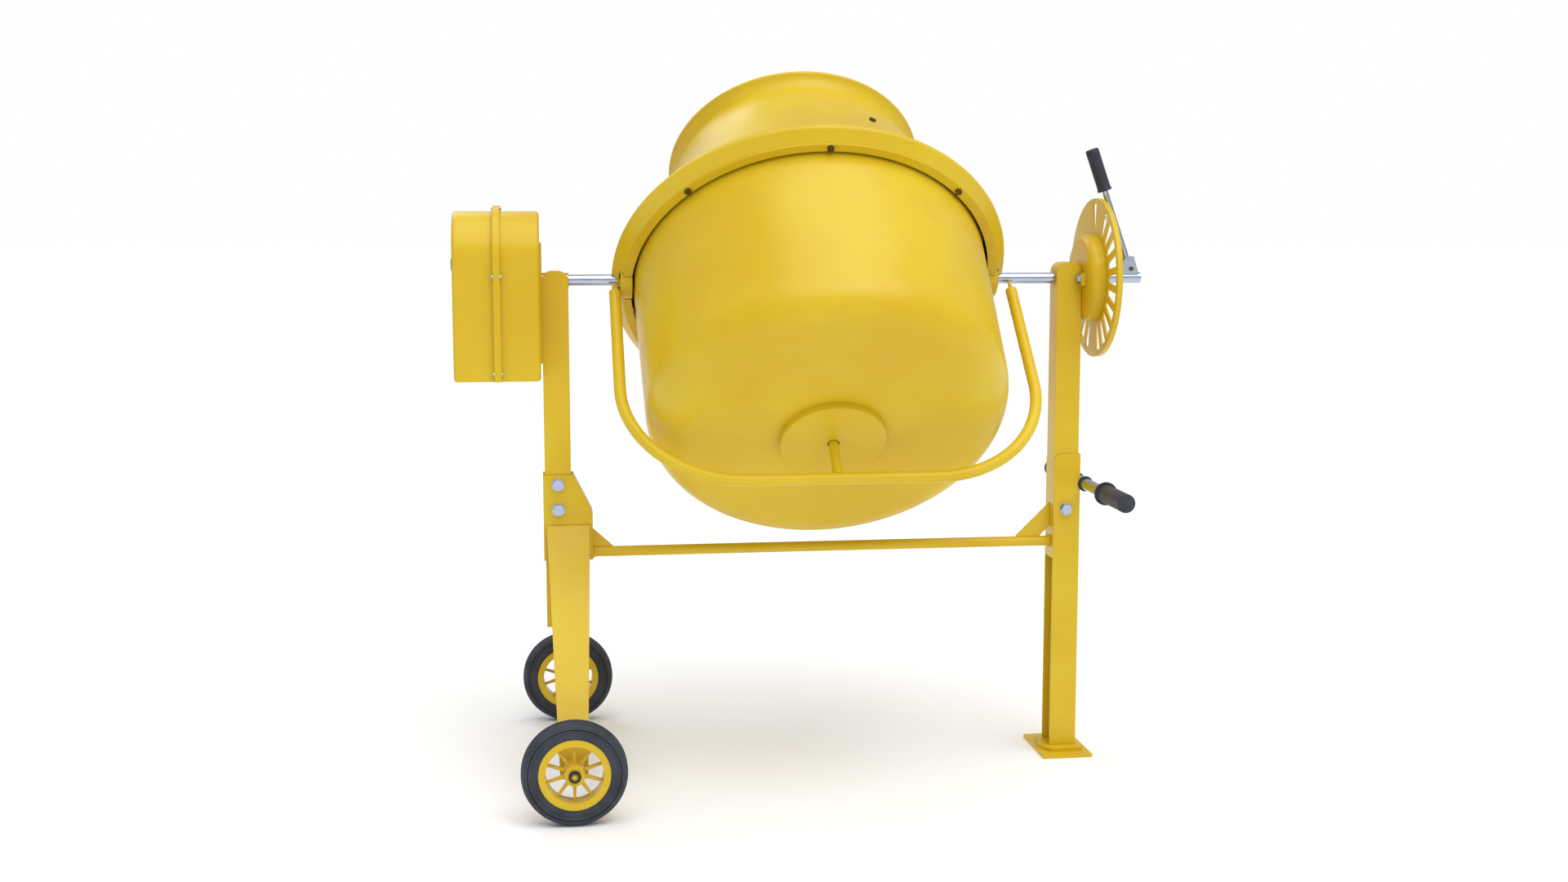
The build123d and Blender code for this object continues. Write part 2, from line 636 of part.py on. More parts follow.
def lock_disc():
    """Dished disc with radial slots that the lever's pin drops into."""
    disc = rod_z(0, DISC_RIM, DISC_RADIUS) - rod_z(DISC_PLATE, DISC_RIM + 1, DISC_RADIUS - RIM_WALL)
    for angle in slot_angles():
        half_pitch = math.radians(SLOT_PITCH / 2)
        inner = SLOT_INNER * math.sin(half_pitch) - SPOKE_WIDTH / 2
        outer = SLOT_OUTER * math.sin(half_pitch) - SPOKE_WIDTH / 2
        slot = make_face(Polyline((SLOT_INNER, -inner), (SLOT_OUTER, -outer), (SLOT_OUTER, outer),
                                  (SLOT_INNER, inner), close=True))
        cut = Pos(0, 0, -1) * extrude(slot, DISC_PLATE + 2)
        disc = disc - Rot(0, 0, 180 + angle) * cut
    disc = disc - rod_z(-1, DISC_PLATE + 1, SHAFT_RADIUS + LOOSE)
    return Pos(DISC_START, 0, TILT_HEIGHT) * Rot(0, 90, 0) * disc


def disc_hub():
    """Domed pressing between the post and the lock disc, with two bolted lugs."""
    depth = DISC_START - DOME_START
    dome = fillet(rod_z(0, depth, DOME_RADIUS).edges().group_by(Axis.Z)[0], DOME_ROUND)
    inner = fillet(rod_z(DOME_WALL, depth + 1, DOME_RADIUS - DOME_WALL).edges().group_by(Axis.Z)[0],
                   DOME_ROUND - DOME_WALL)
    dome = dome - inner - rod_z(-1, depth, SHAFT_RADIUS + LOOSE + BUSH_WALL)
    for side in (-1, 1):
        lug = rod_z(-LUG_THICK, DOME_WALL, LUG_RADIUS, 0, side * LUG_OFFSET)
        lug = lug + block(-LUG_RADIUS, 12, side * LUG_OFFSET - LUG_RADIUS, side * LUG_OFFSET + LUG_RADIUS,
                          -LUG_THICK, DOME_WALL)
        dome = dome + lug - rod_z(-POST_SIZE, DOME_WALL + 1, M8, 0, side * LUG_OFFSET)
    dome = Pos(DOME_START, 0, TILT_HEIGHT) * Rot(0, 90, 0) * dome
    bush_space = rod_x(0, DISC_START, SHAFT_RADIUS + BUSH_WALL + LOOSE, 0, TILT_HEIGHT)
    return dome - bush_space


# --- tilting cradle, drawn with the tilt axis along X and the drum axis along Z ---
def yoke_path():
    left = YOKE_SHIFT - YOKE_ARM
    right = YOKE_SHIFT + YOKE_ARM
    return FilletPolyline((left, -YOKE_ARM_TOP), (left, -YOKE_DEPTH), (right, -YOKE_DEPTH),
                          (right, -YOKE_ARM_TOP), radius=YOKE_BEND)


def yoke():
    """Bent tube with flattened, pointed ends welded to the shafts."""
    path = Plane.XZ * yoke_path()
    start = Plane((YOKE_SHIFT - YOKE_ARM, 0, -YOKE_ARM_TOP), z_dir=(0, 0, -1))
    tube = sweep(start * Circle(YOKE_TUBE), path=path)
    tube = tube - sweep(start * Circle(YOKE_TUBE - YOKE_WALL), path=path)
    for side in (-1, 1):
        x = YOKE_SHIFT + side * YOKE_ARM
        tip = -SHAFT_RADIUS + 1.5
        low = -YOKE_ARM_TOP - 12
        half = TAB_WIDTH / 2
        outline = [(-half, low), (half, low), (half, -YOKE_ARM_TOP + 6), (1.5, tip), (-1.5, tip),
                   (-half, -YOKE_ARM_TOP + 6)]
        tab = plate_yz(outline, x - TAB_THICK / 2, x + TAB_THICK / 2)
        plug = rod_z(low, -YOKE_ARM_TOP, YOKE_TUBE, x)
        tube = tube + tab + plug
        tube = tube - rod_x(x - 20, x + 20, SHAFT_RADIUS)
    return DRUM_FRAME * tube


def trunnion_tube():
    """Hollow pivot on the motor side, with the drive shaft inside."""
    outer = MOTOR_POST_X - HALF_POST - BUSH_PROUD - DRUM_X
    tube = rod_x(outer, -CUP_END, SHAFT_RADIUS) - rod_x(outer - 1, 0, DRIVE_RADIUS + RUNNING)
    return DRUM_FRAME * tube


def tilt_shaft():
    return DRUM_FRAME * rod_x(CUP_END, SHAFT_END - DRUM_X, SHAFT_RADIUS)


def guard_section(offset):
    """Guard's (radius, level) outline: its flat bolted lip, then round the ridge to its top edge."""
    corner = (GUARD_LOW_RADIUS - 0.4 * offset, GUARD_LOW_LEVEL + offset)
    lip = Line((LIP_RING_INNER + 2, GUARD_LOW_LEVEL + offset), corner)
    ridge = (GUARD_RIDGE_RADIUS - offset + 2, GUARD_RIDGE_LEVEL)
    top = (GUARD_TOP_RADIUS - 0.8 * offset, GUARD_TOP_LEVEL - 0.6 * offset)
    return lip, FilletPolyline(corner, ridge, top, radius=GUARD_BEND)


def guard_ring():
    outer = guard_section(0)
    inner = guard_section(GUARD_WALL)
    ends = Line(outer[0] @ 0, inner[0] @ 0), Line(outer[1] @ 1, inner[1] @ 1)
    return turned(*outer, *inner, *ends)


def guard_hollow():
    """Space inside the guard."""
    lip, side = guard_section(GUARD_WALL)
    start = lip @ 0
    end = side @ 1
    return turned(lip, side, Line(end, (start.X, end.Y)), Line((start.X, end.Y), start))


def cup_space():
    """What the guard and its lip rings leave free round both cups."""
    clear = CUP_RADIUS + 1.5
    return rod_x(-CUP_END - 2, CUP_END + 2, clear)


def guard_half(side):
    ring = guard_ring() - cup_space()
    reach = GUARD_RIDGE_RADIUS + 10
    half = ring & block(-reach, reach, side * GUARD_SLOT / 2, side * reach, -reach, reach)
    for angle in guard_bolt_angles(side):
        hole = rod_z(-reach, 0, M6, GUARD_BOLT_CIRCLE)
        half = half - Rot(0, 0, angle) * hole
    return DRUM_FRAME * half


def guard_bolt_angles(side):
    return [side * angle for angle in (45, 90, 135)]


def guard_lip_rings():
    """Flat bolted rings under the guard's two halves."""
    top = GUARD_LOW_LEVEL
    ring = rod_z(top - LIP_RING_THICK, top, GUARD_LOW_RADIUS) - rod_z(-DRUM_RADIUS, 0, LIP_RING_INNER)
    ring = ring - cup_space()
    pieces = []
    reach = GUARD_RIDGE_RADIUS + 10
    for side in (-1, 1):
        half = ring & block(-reach, reach, side * GUARD_SLOT / 2, side * reach, -reach, reach)
        for angle in guard_bolt_angles(side):
            half = half - Rot(0, 0, angle) * rod_z(-reach, 0, M6, GUARD_BOLT_CIRCLE)
        pieces.append(DRUM_FRAME * half)
    return group(*pieces)


def hanger(side):
    """Plate on the cup's back that carries the guard's two halves."""
    x0 = side * HANGER_START
    x1 = side * (HANGER_START + HANGER_THICK)
    plate = block(x0, x1, -HANGER_HALF, HANGER_HALF, GUARD_LOW_LEVEL, GUARD_TOP_LEVEL)
    return plate & guard_hollow()


def pinion_cup():
    """Cup round the pinion, open towards the drum and the ring gear."""
    cup = rod_x(-CUP_END, -CUP_START, CUP_RADIUS)
    cup = cup - rod_x(-CUP_END + CUP_WALL, -CUP_START + 1, CUP_RADIUS - CUP_WALL)
    cup = cup - block(-CUP_END + CUP_WALL, 0, -CUP_RADIUS, CUP_RADIUS, CUP_OPEN_LEVEL, CUP_RADIUS + 1)
    boss = rod_x(-HANGER_START - HANGER_THICK, -CUP_END, SHAFT_RADIUS + 2)
    cup = cup + boss + hanger(-1)
    cup = cup - rod_x(-GUARD_RIDGE_RADIUS, -CUP_END, SHAFT_RADIUS)
    return DRUM_FRAME * (cup - rod_x(-GUARD_RIDGE_RADIUS, 0, DRIVE_RADIUS + RUNNING))


def trunnion_boss():
    """Matching boss on the lever side."""
    body = rod_x(CUP_START, CUP_END, CUP_RADIUS)
    body = body - block(CUP_START - 1, CUP_END - CUP_WALL, -CUP_RADIUS, CUP_RADIUS, CUP_OPEN_LEVEL,
                        CUP_RADIUS + 1)
    body = body + rod_x(CUP_END, HANGER_START + HANGER_THICK, SHAFT_RADIUS + 2) + hanger(1)
    return DRUM_FRAME * (body - rod_x(CUP_END, GUARD_RIDGE_RADIUS, SHAFT_RADIUS))


def cradle_bolts():
    """Dark hex bolts of the guard and of the lever bracket."""
    pieces = []
    for side in (-1, 1):
        for angle in guard_bolt_angles(side):
            seat = Pos(GUARD_BOLT_CIRCLE, 0, GUARD_LOW_LEVEL - LIP_RING_THICK) * Rot(180, 0, 0)
            bolt = seat * hex_bolt(M6, LIP_RING_THICK + GUARD_WALL, washer=False)
            pieces.append(DRUM_FRAME * Rot(0, 0, angle) * bolt)
    outside = CHEEK_GAP / 2 + CHEEK_THICK
    for x in (LEVER_PIVOT_X, stop_bolt_x()):
        seat = Pos(x, -outside, TILT_HEIGHT + LEVER_PIVOT_Z) * Rot(90, 0, 0)
        pieces.append(seat * hex_bolt(M4, 2 * outside, washer=False))
    return group(*pieces)


def stop_bolt_x():
    return LEVER_PIVOT_X - 24


def spindle():
    """Fixed pivot of the drum, coped onto the yoke."""
    pin = rod_z(-YOKE_DEPTH, SPINDLE_TOP, SPINDLE_RADIUS)
    collar_top = -BOWL_DEPTH + DRUM_WALL + 1
    pin = pin + rod_z(collar_top - 4, collar_top, SPINDLE_RADIUS + 3)
    return DRUM_FRAME * (pin - rod_x(-20, 20, YOKE_TUBE, 0, -YOKE_DEPTH))


def lever_bracket():
    """Forked bracket on top of the tilt shaft."""
    inside = CHEEK_GAP / 2
    outside = inside + CHEEK_THICK
    left = LEVER_PIVOT_X - CHEEK_BEFORE
    right = LEVER_PIVOT_X + CHEEK_AFTER
    low = SHAFT_RADIUS - 3
    inner, outer = CHEEK_SLOPES
    high = low + CHEEK_HEIGHT
    outline = [(left, low), (right, low), (right - outer, high), (right - inner, high)]
    cheek = plate_xz(outline, -outside, -inside)
    body = cheek + mirror(cheek, Plane.XZ) + block(left, right, -outside, outside, low, SHAFT_RADIUS + 1)
    body = body - rod_x(left - 1, right + 1, SHAFT_RADIUS)
    for x in (LEVER_PIVOT_X, stop_bolt_x()):
        body = body - rod_y(-POST_SIZE, POST_SIZE, M4, x, LEVER_PIVOT_Z)
    return AXIS_LEVEL * body


# --- tilt lever, drawn along Z from its pivot ---
def lever_rod():
    """Rod with an eye at the pivot and a pin that drops into the lock disc."""
    rod = rod_z(8, LEVER_LENGTH, LEVER_ROD)
    eye = rod_y(-LEVER_ROD, LEVER_ROD, LEVER_EYE)
    rod = rod + eye + block(-3.5, 3.5, -LEVER_ROD, LEVER_ROD, 0, 12)
    rod = rod - rod_y(-POST_SIZE, POST_SIZE, M4 + RUNNING)
    rod = LEVER_FRAME * rod
    pin_z = PIN_HEIGHT
    at_rod = LEVER_PIVOT_X - (pin_z - LEVER_PIVOT_Z) * LEVER_TILT_TAN
    tip = DISC_START + DISC_PLATE + PIN_CLEAR
    return rod + rod_x(tip, at_rod, PIN_RADIUS, 0, TILT_HEIGHT + pin_z)


def lever_grip():
    start = LEVER_LENGTH - LEVER_GRIP_LENGTH + 4
    sleeve = rod_z(start, LEVER_LENGTH + 4, LEVER_GRIP_RADIUS)
    sleeve = fillet(sleeve.edges().group_by(Axis.Z)[-1], 3.0)
    sleeve = sleeve + rod_z(start, start + 5, LEVER_GRIP_RADIUS + 1)
    return LEVER_FRAME * (sleeve - rod_z(start - 1, LEVER_LENGTH, LEVER_ROD))


# --- drum, drawn with its axis along Z and the tilt axis at Z = 0 ---
def bowl_corner():
    """Centre of the bowl's corner arc and the wall's lean in degrees."""
    centre = (BOWL_BASE_RADIUS - BOWL_CORNER, BOWL_CORNER - BOWL_DEPTH)
    out = DRUM_RADIUS - centre[0]
    rise = FLANGE_LEVEL - centre[1]
    lean = math.atan2(out, rise) - math.asin(BOWL_CORNER / math.hypot(out, rise))
    return centre, math.degrees(lean)


def bowl_side(inset):
    """Wall outline from the flat bottom round the corner up to the flange, drawn in by the inset."""
    centre, lean = bowl_corner()
    radius = BOWL_CORNER - inset
    slope = math.radians(lean)
    tangent = (centre[0] + radius * math.cos(slope), centre[1] - radius * math.sin(slope))
    top = FLANGE_LEVEL if inset == 0 else FLANGE_LEVEL + FLANGE_THICK
    top_radius = tangent[0] + (top - tangent[1]) * math.tan(slope)
    corner = CenterArc(centre, radius, -90, 90 - lean)
    return corner, Line(tangent, (top_radius, top)), (top_radius, top)


def bowl():
    low = -BOWL_DEPTH
    top = FLANGE_LEVEL + FLANGE_THICK
    hole = BEARING_RADIUS - 4
    corner, side, shoulder = bowl_side(0)
    inner_corner, inner_side, inner_shoulder = bowl_side(DRUM_WALL)
    flat = BOWL_BASE_RADIUS - BOWL_CORNER
    shape = turned(
        Line((hole, low), (flat, low)),
        corner,
        side,
        Line(shoulder, (FLANGE_RADIUS, FLANGE_LEVEL)),
        Line((FLANGE_RADIUS, FLANGE_LEVEL), (FLANGE_RADIUS, top)),
        Line((FLANGE_RADIUS, top), inner_shoulder),
        inner_side,
        inner_corner,
        Line((flat, low + DRUM_WALL), (hole, low + DRUM_WALL)),
        Line((hole, low + DRUM_WALL), (hole, low)),
    )
    for angle in flange_bolt_angles():
        shape = shape - Rot(0, 0, angle) * rod_z(0, POST_SIZE, M6, RING_MEAN)
    for place in blade_bolt_places(BLADE_BOLT_LEVELS[0]):
        shape = shape - place * rod_x(-20, 20, M6)
    return DRUM_FRAME * shape


def cone():
    """Upper half of the drum with a rolled mouth."""
    wall = DRUM_WALL
    low = FLANGE_LEVEL + FLANGE_THICK
    middle_r = (SHOULDER_RADIUS + NECK_RADIUS) / 2 - NECK_HOLLOW
    middle_z = (SHOULDER_LEVEL + NECK_LEVEL) / 2
    edges = [
        Line((DRUM_RADIUS - wall, low), (FLANGE_RADIUS, low)),
        Line((FLANGE_RADIUS, low), (FLANGE_RADIUS, CONE_TOP_FLANGE)),
        Line((FLANGE_RADIUS, CONE_TOP_FLANGE), (DRUM_RADIUS, CONE_TOP_FLANGE)),
        Line((DRUM_RADIUS, CONE_TOP_FLANGE), (SHOULDER_RADIUS, SHOULDER_LEVEL)),
        ThreePointArc((SHOULDER_RADIUS, SHOULDER_LEVEL), (middle_r, middle_z), (NECK_RADIUS, NECK_LEVEL)),
        Line((NECK_RADIUS, NECK_LEVEL), (LIP_RADIUS, LIP_LEVEL)),
        Line((LIP_RADIUS, LIP_LEVEL), (LIP_RADIUS - wall, LIP_LEVEL)),
        Line((LIP_RADIUS - wall, LIP_LEVEL), (NECK_RADIUS - wall, NECK_LEVEL)),
        ThreePointArc((NECK_RADIUS - wall, NECK_LEVEL), (middle_r - wall, middle_z),
                      (SHOULDER_RADIUS - wall, SHOULDER_LEVEL)),
        Line((SHOULDER_RADIUS - wall, SHOULDER_LEVEL), (DRUM_RADIUS - wall, CONE_TOP_FLANGE)),
        Line((DRUM_RADIUS - wall, CONE_TOP_FLANGE), (DRUM_RADIUS - wall, low)),
    ]
    bead = revolve(Plane.XZ * Pos(LIP_RADIUS, LIP_LEVEL) * Circle(LIP_BEAD), Axis.Z)
    shape = turned(*edges) + bead
    for angle in flange_bolt_angles():
        shape = shape - Rot(0, 0, angle) * rod_z(0, POST_SIZE, M6, RING_MEAN)
    for place in blade_bolt_places(BLADE_BOLT_LEVELS[1]):
        shape = shape - place * rod_x(-20, 20, M6)
    return DRUM_FRAME * shape


def flange_bolt_angles():
    return [22.5 + 45 * step for step in range(8)]


def tooth_prism(half_low, half_high, z_low, z_high):
    """Straight tooth along X over the gear's face width."""
    return plate_yz([(-half_low, z_low), (half_low, z_low), (half_high, z_high), (-half_high, z_high)],
                    GEAR_INNER, GEAR_OUTER)


def ring_gear():
    """Crown gear in four segments, teeth facing the drum's bottom."""
    pitch = math.pi * MODULE
    lean = math.tan(math.radians(PRESSURE_ANGLE))
    at_pitch = TOOTH_SHARE * pitch / 2
    tooth = tooth_prism(at_pitch - lean * TOOTH_ADDENDUM, at_pitch + lean * (TOOTH_DEDENDUM + 0.5),
                        GEAR_TIP_LEVEL, GEAR_ROOT_LEVEL + 0.5)
    span = 360 / RING_SEGMENTS
    ring = rod_z(GEAR_ROOT_LEVEL, FLANGE_LEVEL, GEAR_OUTER) - rod_z(0, POST_SIZE, GEAR_INNER)
    segment = ring & block(0, DRUM_RADIUS + 50, 0, DRUM_RADIUS + 50, 0, POST_SIZE)
    step = 360 / RING_TEETH
    teeth = [Rot(0, 0, (index + 0.5) * step) * tooth for index in range(RING_TEETH // RING_SEGMENTS)]
    segment = segment + teeth
    for angle in flange_bolt_angles()[:2]:
        segment = segment - Rot(0, 0, angle) * rod_z(GEAR_ROOT_LEVEL + 0.6, POST_SIZE, M6, RING_MEAN)
    gap = 0.05
    segment = segment - block(0, FLANGE_RADIUS + 9, -1, gap, 0, POST_SIZE)
    return group(*[DRUM_FRAME * Rot(0, 0, span * turn) * segment for turn in range(RING_SEGMENTS)])


def wall_place(level):
    """Outer wall of the drum at one level: radius and the wall's lean in degrees."""
    if level < FLANGE_LEVEL:
        lean = bowl_corner()[1]
        return DRUM_RADIUS - (FLANGE_LEVEL - level) * math.tan(math.radians(lean)), -lean
    share = (level - SHOULDER_LEVEL) / (NECK_LEVEL - SHOULDER_LEVEL)
    drop = SHOULDER_RADIUS - NECK_RADIUS
    bow = 4 * NECK_HOLLOW * share * (1 - share)
    fall = drop + 4 * NECK_HOLLOW * (1 - 2 * share)
    lean = math.degrees(math.atan2(fall, NECK_LEVEL - SHOULDER_LEVEL))
    return SHOULDER_RADIUS - share * drop - bow, lean


def blade_seat(level):
    """Seat of a blade's foot on the wall, relative to the blade's middle, X pointing outwards."""
    radius, lean = wall_place(level)
    across = (BLADE_LEVEL - level) * math.tan(math.radians(BLADE_TILT))
    turn = math.degrees(math.asin(across / radius))
    return Rot(0, 0, turn) * Pos(radius, 0, level) * Rot(0, -lean, 0)


def blade_bolt_places(level):
    return [Rot(0, 0, angle) * blade_seat(level) for angle in BLADE_ANGLES]


def drum_inside():
    """Space inside the drum's walls."""
    gap = DRUM_WALL
    middle_r = (SHOULDER_RADIUS + NECK_RADIUS) / 2 - NECK_HOLLOW
    middle_z = (SHOULDER_LEVEL + NECK_LEVEL) / 2
    low = gap - BOWL_DEPTH
    corner, side, shoulder = bowl_side(gap)
    flat = BOWL_BASE_RADIUS - BOWL_CORNER
    return turned(
        Line((0, low), (flat, low)),
        corner,
        side,
        Line(shoulder, (SHOULDER_RADIUS - gap, SHOULDER_LEVEL)),
        ThreePointArc((SHOULDER_RADIUS - gap, SHOULDER_LEVEL), (middle_r - gap, middle_z),
                      (NECK_RADIUS - gap, NECK_LEVEL)),
        Line((NECK_RADIUS - gap, NECK_LEVEL), (0, NECK_LEVEL)),
        Line((0, NECK_LEVEL), (0, low)),
    )


def mixing_blades():
    """Two slanted paddles that run from the bowl up to the neck, bolted to the wall by their feet."""
    inner = NECK_RADIUS - BLADE_NECK_GAP
    near = BLADE_OFFSET - BLADE_THICK / 2
    paddle = block(inner, DRUM_RADIUS + 5, near, near + BLADE_THICK, -BLADE_REACH, BLADE_REACH)
    paddle = fillet(paddle.edges().filter_by(Axis.Y).group_by(Axis.X)[0], BLADE_ROUND)
    body = Pos(0, 0, BLADE_LEVEL) * Rot(BLADE_TILT, 0, 0) * paddle
    for level in BLADE_BOLT_LEVELS:
        seat = blade_seat(level) * Rot(BLADE_TILT, 0, 0)
        foot = block(-DRUM_WALL - BLADE_THICK, 5, -BLADE_FOOT / 2, near + BLADE_THICK,
                     -BLADE_FOOT / 2, BLADE_FOOT / 2)
        body = body + seat * foot
    body = body & drum_inside()
    pieces = []
    for angle in BLADE_ANGLES:
        blade = Rot(0, 0, angle) * body
        for level in BLADE_BOLT_LEVELS:
            for place in blade_bolt_places(level):
                blade = blade - place * rod_x(-30, 20, M6)
        pieces.append(DRUM_FRAME * blade)
    return group(*pieces)


def drum_bolts():
    """Flange bolts, threaded into the ring gear, and the blades' bolts."""
    pieces = []
    for angle in flange_bolt_angles():
        bolt = Pos(RING_MEAN, 0, CONE_TOP_FLANGE) * hex_bolt(M6, 2 * FLANGE_THICK + 2.5, washer=False)
        pieces.append(DRUM_FRAME * Rot(0, 0, angle) * bolt)
    for level in BLADE_BOLT_LEVELS:
        for place in blade_bolt_places(level):
            bolt = Rot(0, 90, 0) * hex_bolt(M6, 10, washer=False)
            pieces.append(DRUM_FRAME * place * bolt)
    return group(*pieces)


def hub_disc():
    """Dished cover over the drum's bottom bearing."""
    low = -BOWL_DEPTH - HUB_DISC_DEPTH
    disc = fillet(rod_z(low, -BOWL_DEPTH, HUB_DISC_RADIUS).edges().group_by(Axis.Z)[0], 2.0)
    disc = disc - rod_z(low + HUB_DISC_WALL, 0, HUB_DISC_RADIUS - HUB_DISC_WALL)
    return DRUM_FRAME * (disc - rod_z(low - 1, 0, SPINDLE_RADIUS + 1.5))


def bearing_housing():
    """Flanged cup inside the drum's bottom that holds two bearings."""
    low = -BOWL_DEPTH + DRUM_WALL
    outer = BEARING_RADIUS + HOUSING_WALL
    body = rod_z(low, low + HOUSING_FLANGE, HOUSING_FLANGE_RADIUS) + rod_z(low, HOUSING_TOP, outer)
    body = fillet(body.edges().group_by(Axis.Z)[-1], 3.0)
    return DRUM_FRAME * (body - rod_z(low - 1, HOUSING_TOP - HOUSING_WALL, BEARING_RADIUS))


def drum_bearings():
    low = -BOWL_DEPTH + DRUM_WALL + 1 + LOOSE
    high = HOUSING_TOP - HOUSING_WALL - BEARING_WIDTH
    pieces = []
    for start in (low, high - 6):
        ring = rod_z(start, start + BEARING_WIDTH, BEARING_RADIUS)
        pieces.append(DRUM_FRAME * (ring - rod_z(start - 1, 0, SPINDLE_RADIUS + RUNNING)))
    return group(*pieces)


# --- drive line ---
def pinion():
    """Spur pinion with its axis on the tilt axis, in mesh with the ring gear at rest."""
    pitch = math.pi * MODULE
    lean = math.tan(math.radians(PRESSURE_ANGLE))
    at_pitch = TOOTH_SHARE * pitch / 2
    root = PINION_PITCH_RADIUS - TOOTH_DEDENDUM
    half_root = at_pitch + lean * TOOTH_DEDENDUM
    tooth = plate_yz([(-half_root, root - 1), (half_root, root - 1), (half_root, root),
                      (at_pitch - lean * TOOTH_ADDENDUM, PINION_PITCH_RADIUS + TOOTH_ADDENDUM),
                      (-at_pitch + lean * TOOTH_ADDENDUM, PINION_PITCH_RADIUS + TOOTH_ADDENDUM),
                      (-half_root, root)], -GEAR_OUTER - 1, -GEAR_INNER)
    body = rod_x(-GEAR_OUTER - 1, -GEAR_INNER, root)
    for index in range(PINION_TEETH):
        body = body + Rot(index * 360 / PINION_TEETH, 0, 0) * tooth
    return DRUM_FRAME * (body - rod_x(-GEAR_OUTER - 2, 0, DRIVE_RADIUS))


def drive_shaft():
    outer = BELT_X - PULLEY_WIDTH / 2 - 4
    return AXIS_LEVEL * rod_x(outer, DRUM_X - GEAR_INNER, DRIVE_RADIUS)


def pulley(radius, bore, hub):
    """Grooved pulley about X, centred on its belt."""
    half = PULLEY_WIDTH / 2
    body = rod_x(-half, half, radius)
    groove = BELT_WIDTH / 2 + BELT_GAP
    seat = rod_x(-groove, groove, radius - BELT_THICK - BELT_GAP)
    body = body - (rod_x(-groove, groove, radius + 1) - seat)
    if radius > 2 * hub:
        dish = rod_x(PULLEY_WEB, half + 1, radius - 3 * BELT_THICK) - rod_x(0, half + 2, hub)
        body = body - dish - mirror(dish, Plane.YZ)
    return body - rod_x(-half - 1, half + 1, bore)


def large_pulley():
    return Pos(BELT_X, 0, TILT_HEIGHT) * pulley(LARGE_PULLEY, DRIVE_RADIUS, PULLEY_HUB)


def motor_axis(x=0.0):
    return Pos(x, MOTOR_Y, TILT_HEIGHT + MOTOR_Z)


def motor_pulley():
    return motor_axis(BELT_X) * pulley(SMALL_PULLEY, MOTOR_SHAFT_RADIUS, PULLEY_HUB)


def motor_shaft():
    return motor_axis() * rod_x(MOTOR_BACK - 12, BELT_X + PULLEY_WIDTH / 2 + 3, MOTOR_SHAFT_RADIUS)


def cooling_fan():
    x1 = MOTOR_BACK - 3
    x0 = x1 - FAN_WIDTH
    body = rod_x(x0, x1, FAN_HUB) + rod_x(x1 - FAN_DISC, x1, FAN_RADIUS)
    for index in range(FAN_BLADES):
        blade = block(x0, x1, -1, 1, 10, FAN_RADIUS)
        body = body + Rot(index * 360 / FAN_BLADES, 0, 0) * blade
    return motor_axis() * (body - rod_x(x0 - 1, x1 + 1, MOTOR_SHAFT_RADIUS))


def motor():
    """Motor with end bells and three cast feet that stand on the housing's inner shell."""
    body = rod_x(MOTOR_BACK, MOTOR_FRONT, MOTOR_RADIUS)
    body = fillet(body.edges(), MOTOR_EDGE)
    groove = block(MOTOR_BACK + FIN_MARGIN, MOTOR_FRONT - FIN_MARGIN, -FIN_GROOVE / 2, FIN_GROOVE / 2,
                   MOTOR_RADIUS - FIN_DEPTH, MOTOR_RADIUS + 1)
    for step in range(MOTOR_FINS):
        body = body - Rot(step * 360 / MOTOR_FINS, 0, 0) * groove
    for angle in MOTOR_FOOT_ANGLES:
        foot = rod_x(MOTOR_FRONT - MOTOR_FOOT_INSET, CASE_INNER - CASE_WALL, MOTOR_FOOT_RADIUS, 0,
                     MOTOR_RADIUS - MOTOR_FOOT_INSET)
        body = body + Rot(angle, 0, 0) * foot
    return motor_axis() * (body - rod_x(MOTOR_BACK - 1, MOTOR_FRONT + 1, MOTOR_SHAFT_RADIUS + RUNNING))


def belt_loop(inset, width):
    """Band round both pulleys, drawn in by the inset from their rims."""
    large = Circle(LARGE_PULLEY - inset)
    small = Pos(MOTOR_Y, MOTOR_Z) * Circle(SMALL_PULLEY - inset)
    hull = make_face(make_hull(large.edges() + small.edges()))
    return Pos(BELT_X - width / 2, 0, TILT_HEIGHT) * extrude(Plane.YZ * hull, width)


def drive_belt():
    return belt_loop(0, BELT_WIDTH) - belt_loop(BELT_THICK, BELT_WIDTH + 2) & belt_loop(0, BELT_WIDTH)


def case_outline(inset):
    """Housing's (y, z) outline: straight sides under a round top."""
    half = CASE_HALF - inset
    low = CASE_BOTTOM + inset
    spring = CASE_TOP - CASE_HALF
    return [Line((-half, spring), (-half, low)), Line((-half, low), (half, low)),
            Line((half, low), (half, spring)), CenterArc((0, spring), half, 0, 180)]


def case_block(inset, x0, x1):
    face = Plane.YZ * make_face(case_outline(inset))
    return Pos(x0, 0, 0) * extrude(face, x1 - x0)


def case_shell(x_end, x_seam):
    """Half of the housing: an end wall with a skirt up to the seam."""
    inward = 1 if x_seam > x_end else -1
    low, high = sorted((x_end, x_seam))
    shell = case_block(0, low, high)
    rim_edges = shell.faces().sort_by(Axis.X)[0 if inward > 0 else -1].edges()
    shell = fillet(rim_edges, CASE_EDGE)
    a, b = sorted((x_end + inward * CASE_WALL, x_seam + inward))
    return shell - case_block(CASE_WALL, a, b)


def housing_inner_shell():
    shell = case_shell(CASE_INNER, SEAM_X)
    return AXIS_LEVEL * (shell - rod_x(CASE_INNER - 20, CASE_INNER + 20, DRIVE_RADIUS + 2))


def housing_outer_shell():
    shell = case_shell(CASE_OUTER, SEAM_X)
    half_y = SWITCH_WIDTH / 2
    half_z = SWITCH_HEIGHT / 2
    window = block(CASE_OUTER - 1, CASE_OUTER + CASE_WALL + 1, SWITCH_Y - half_y, SWITCH_Y + half_y,
                   SWITCH_Z - half_z, SWITCH_Z + half_z)
    return AXIS_LEVEL * (shell - window)


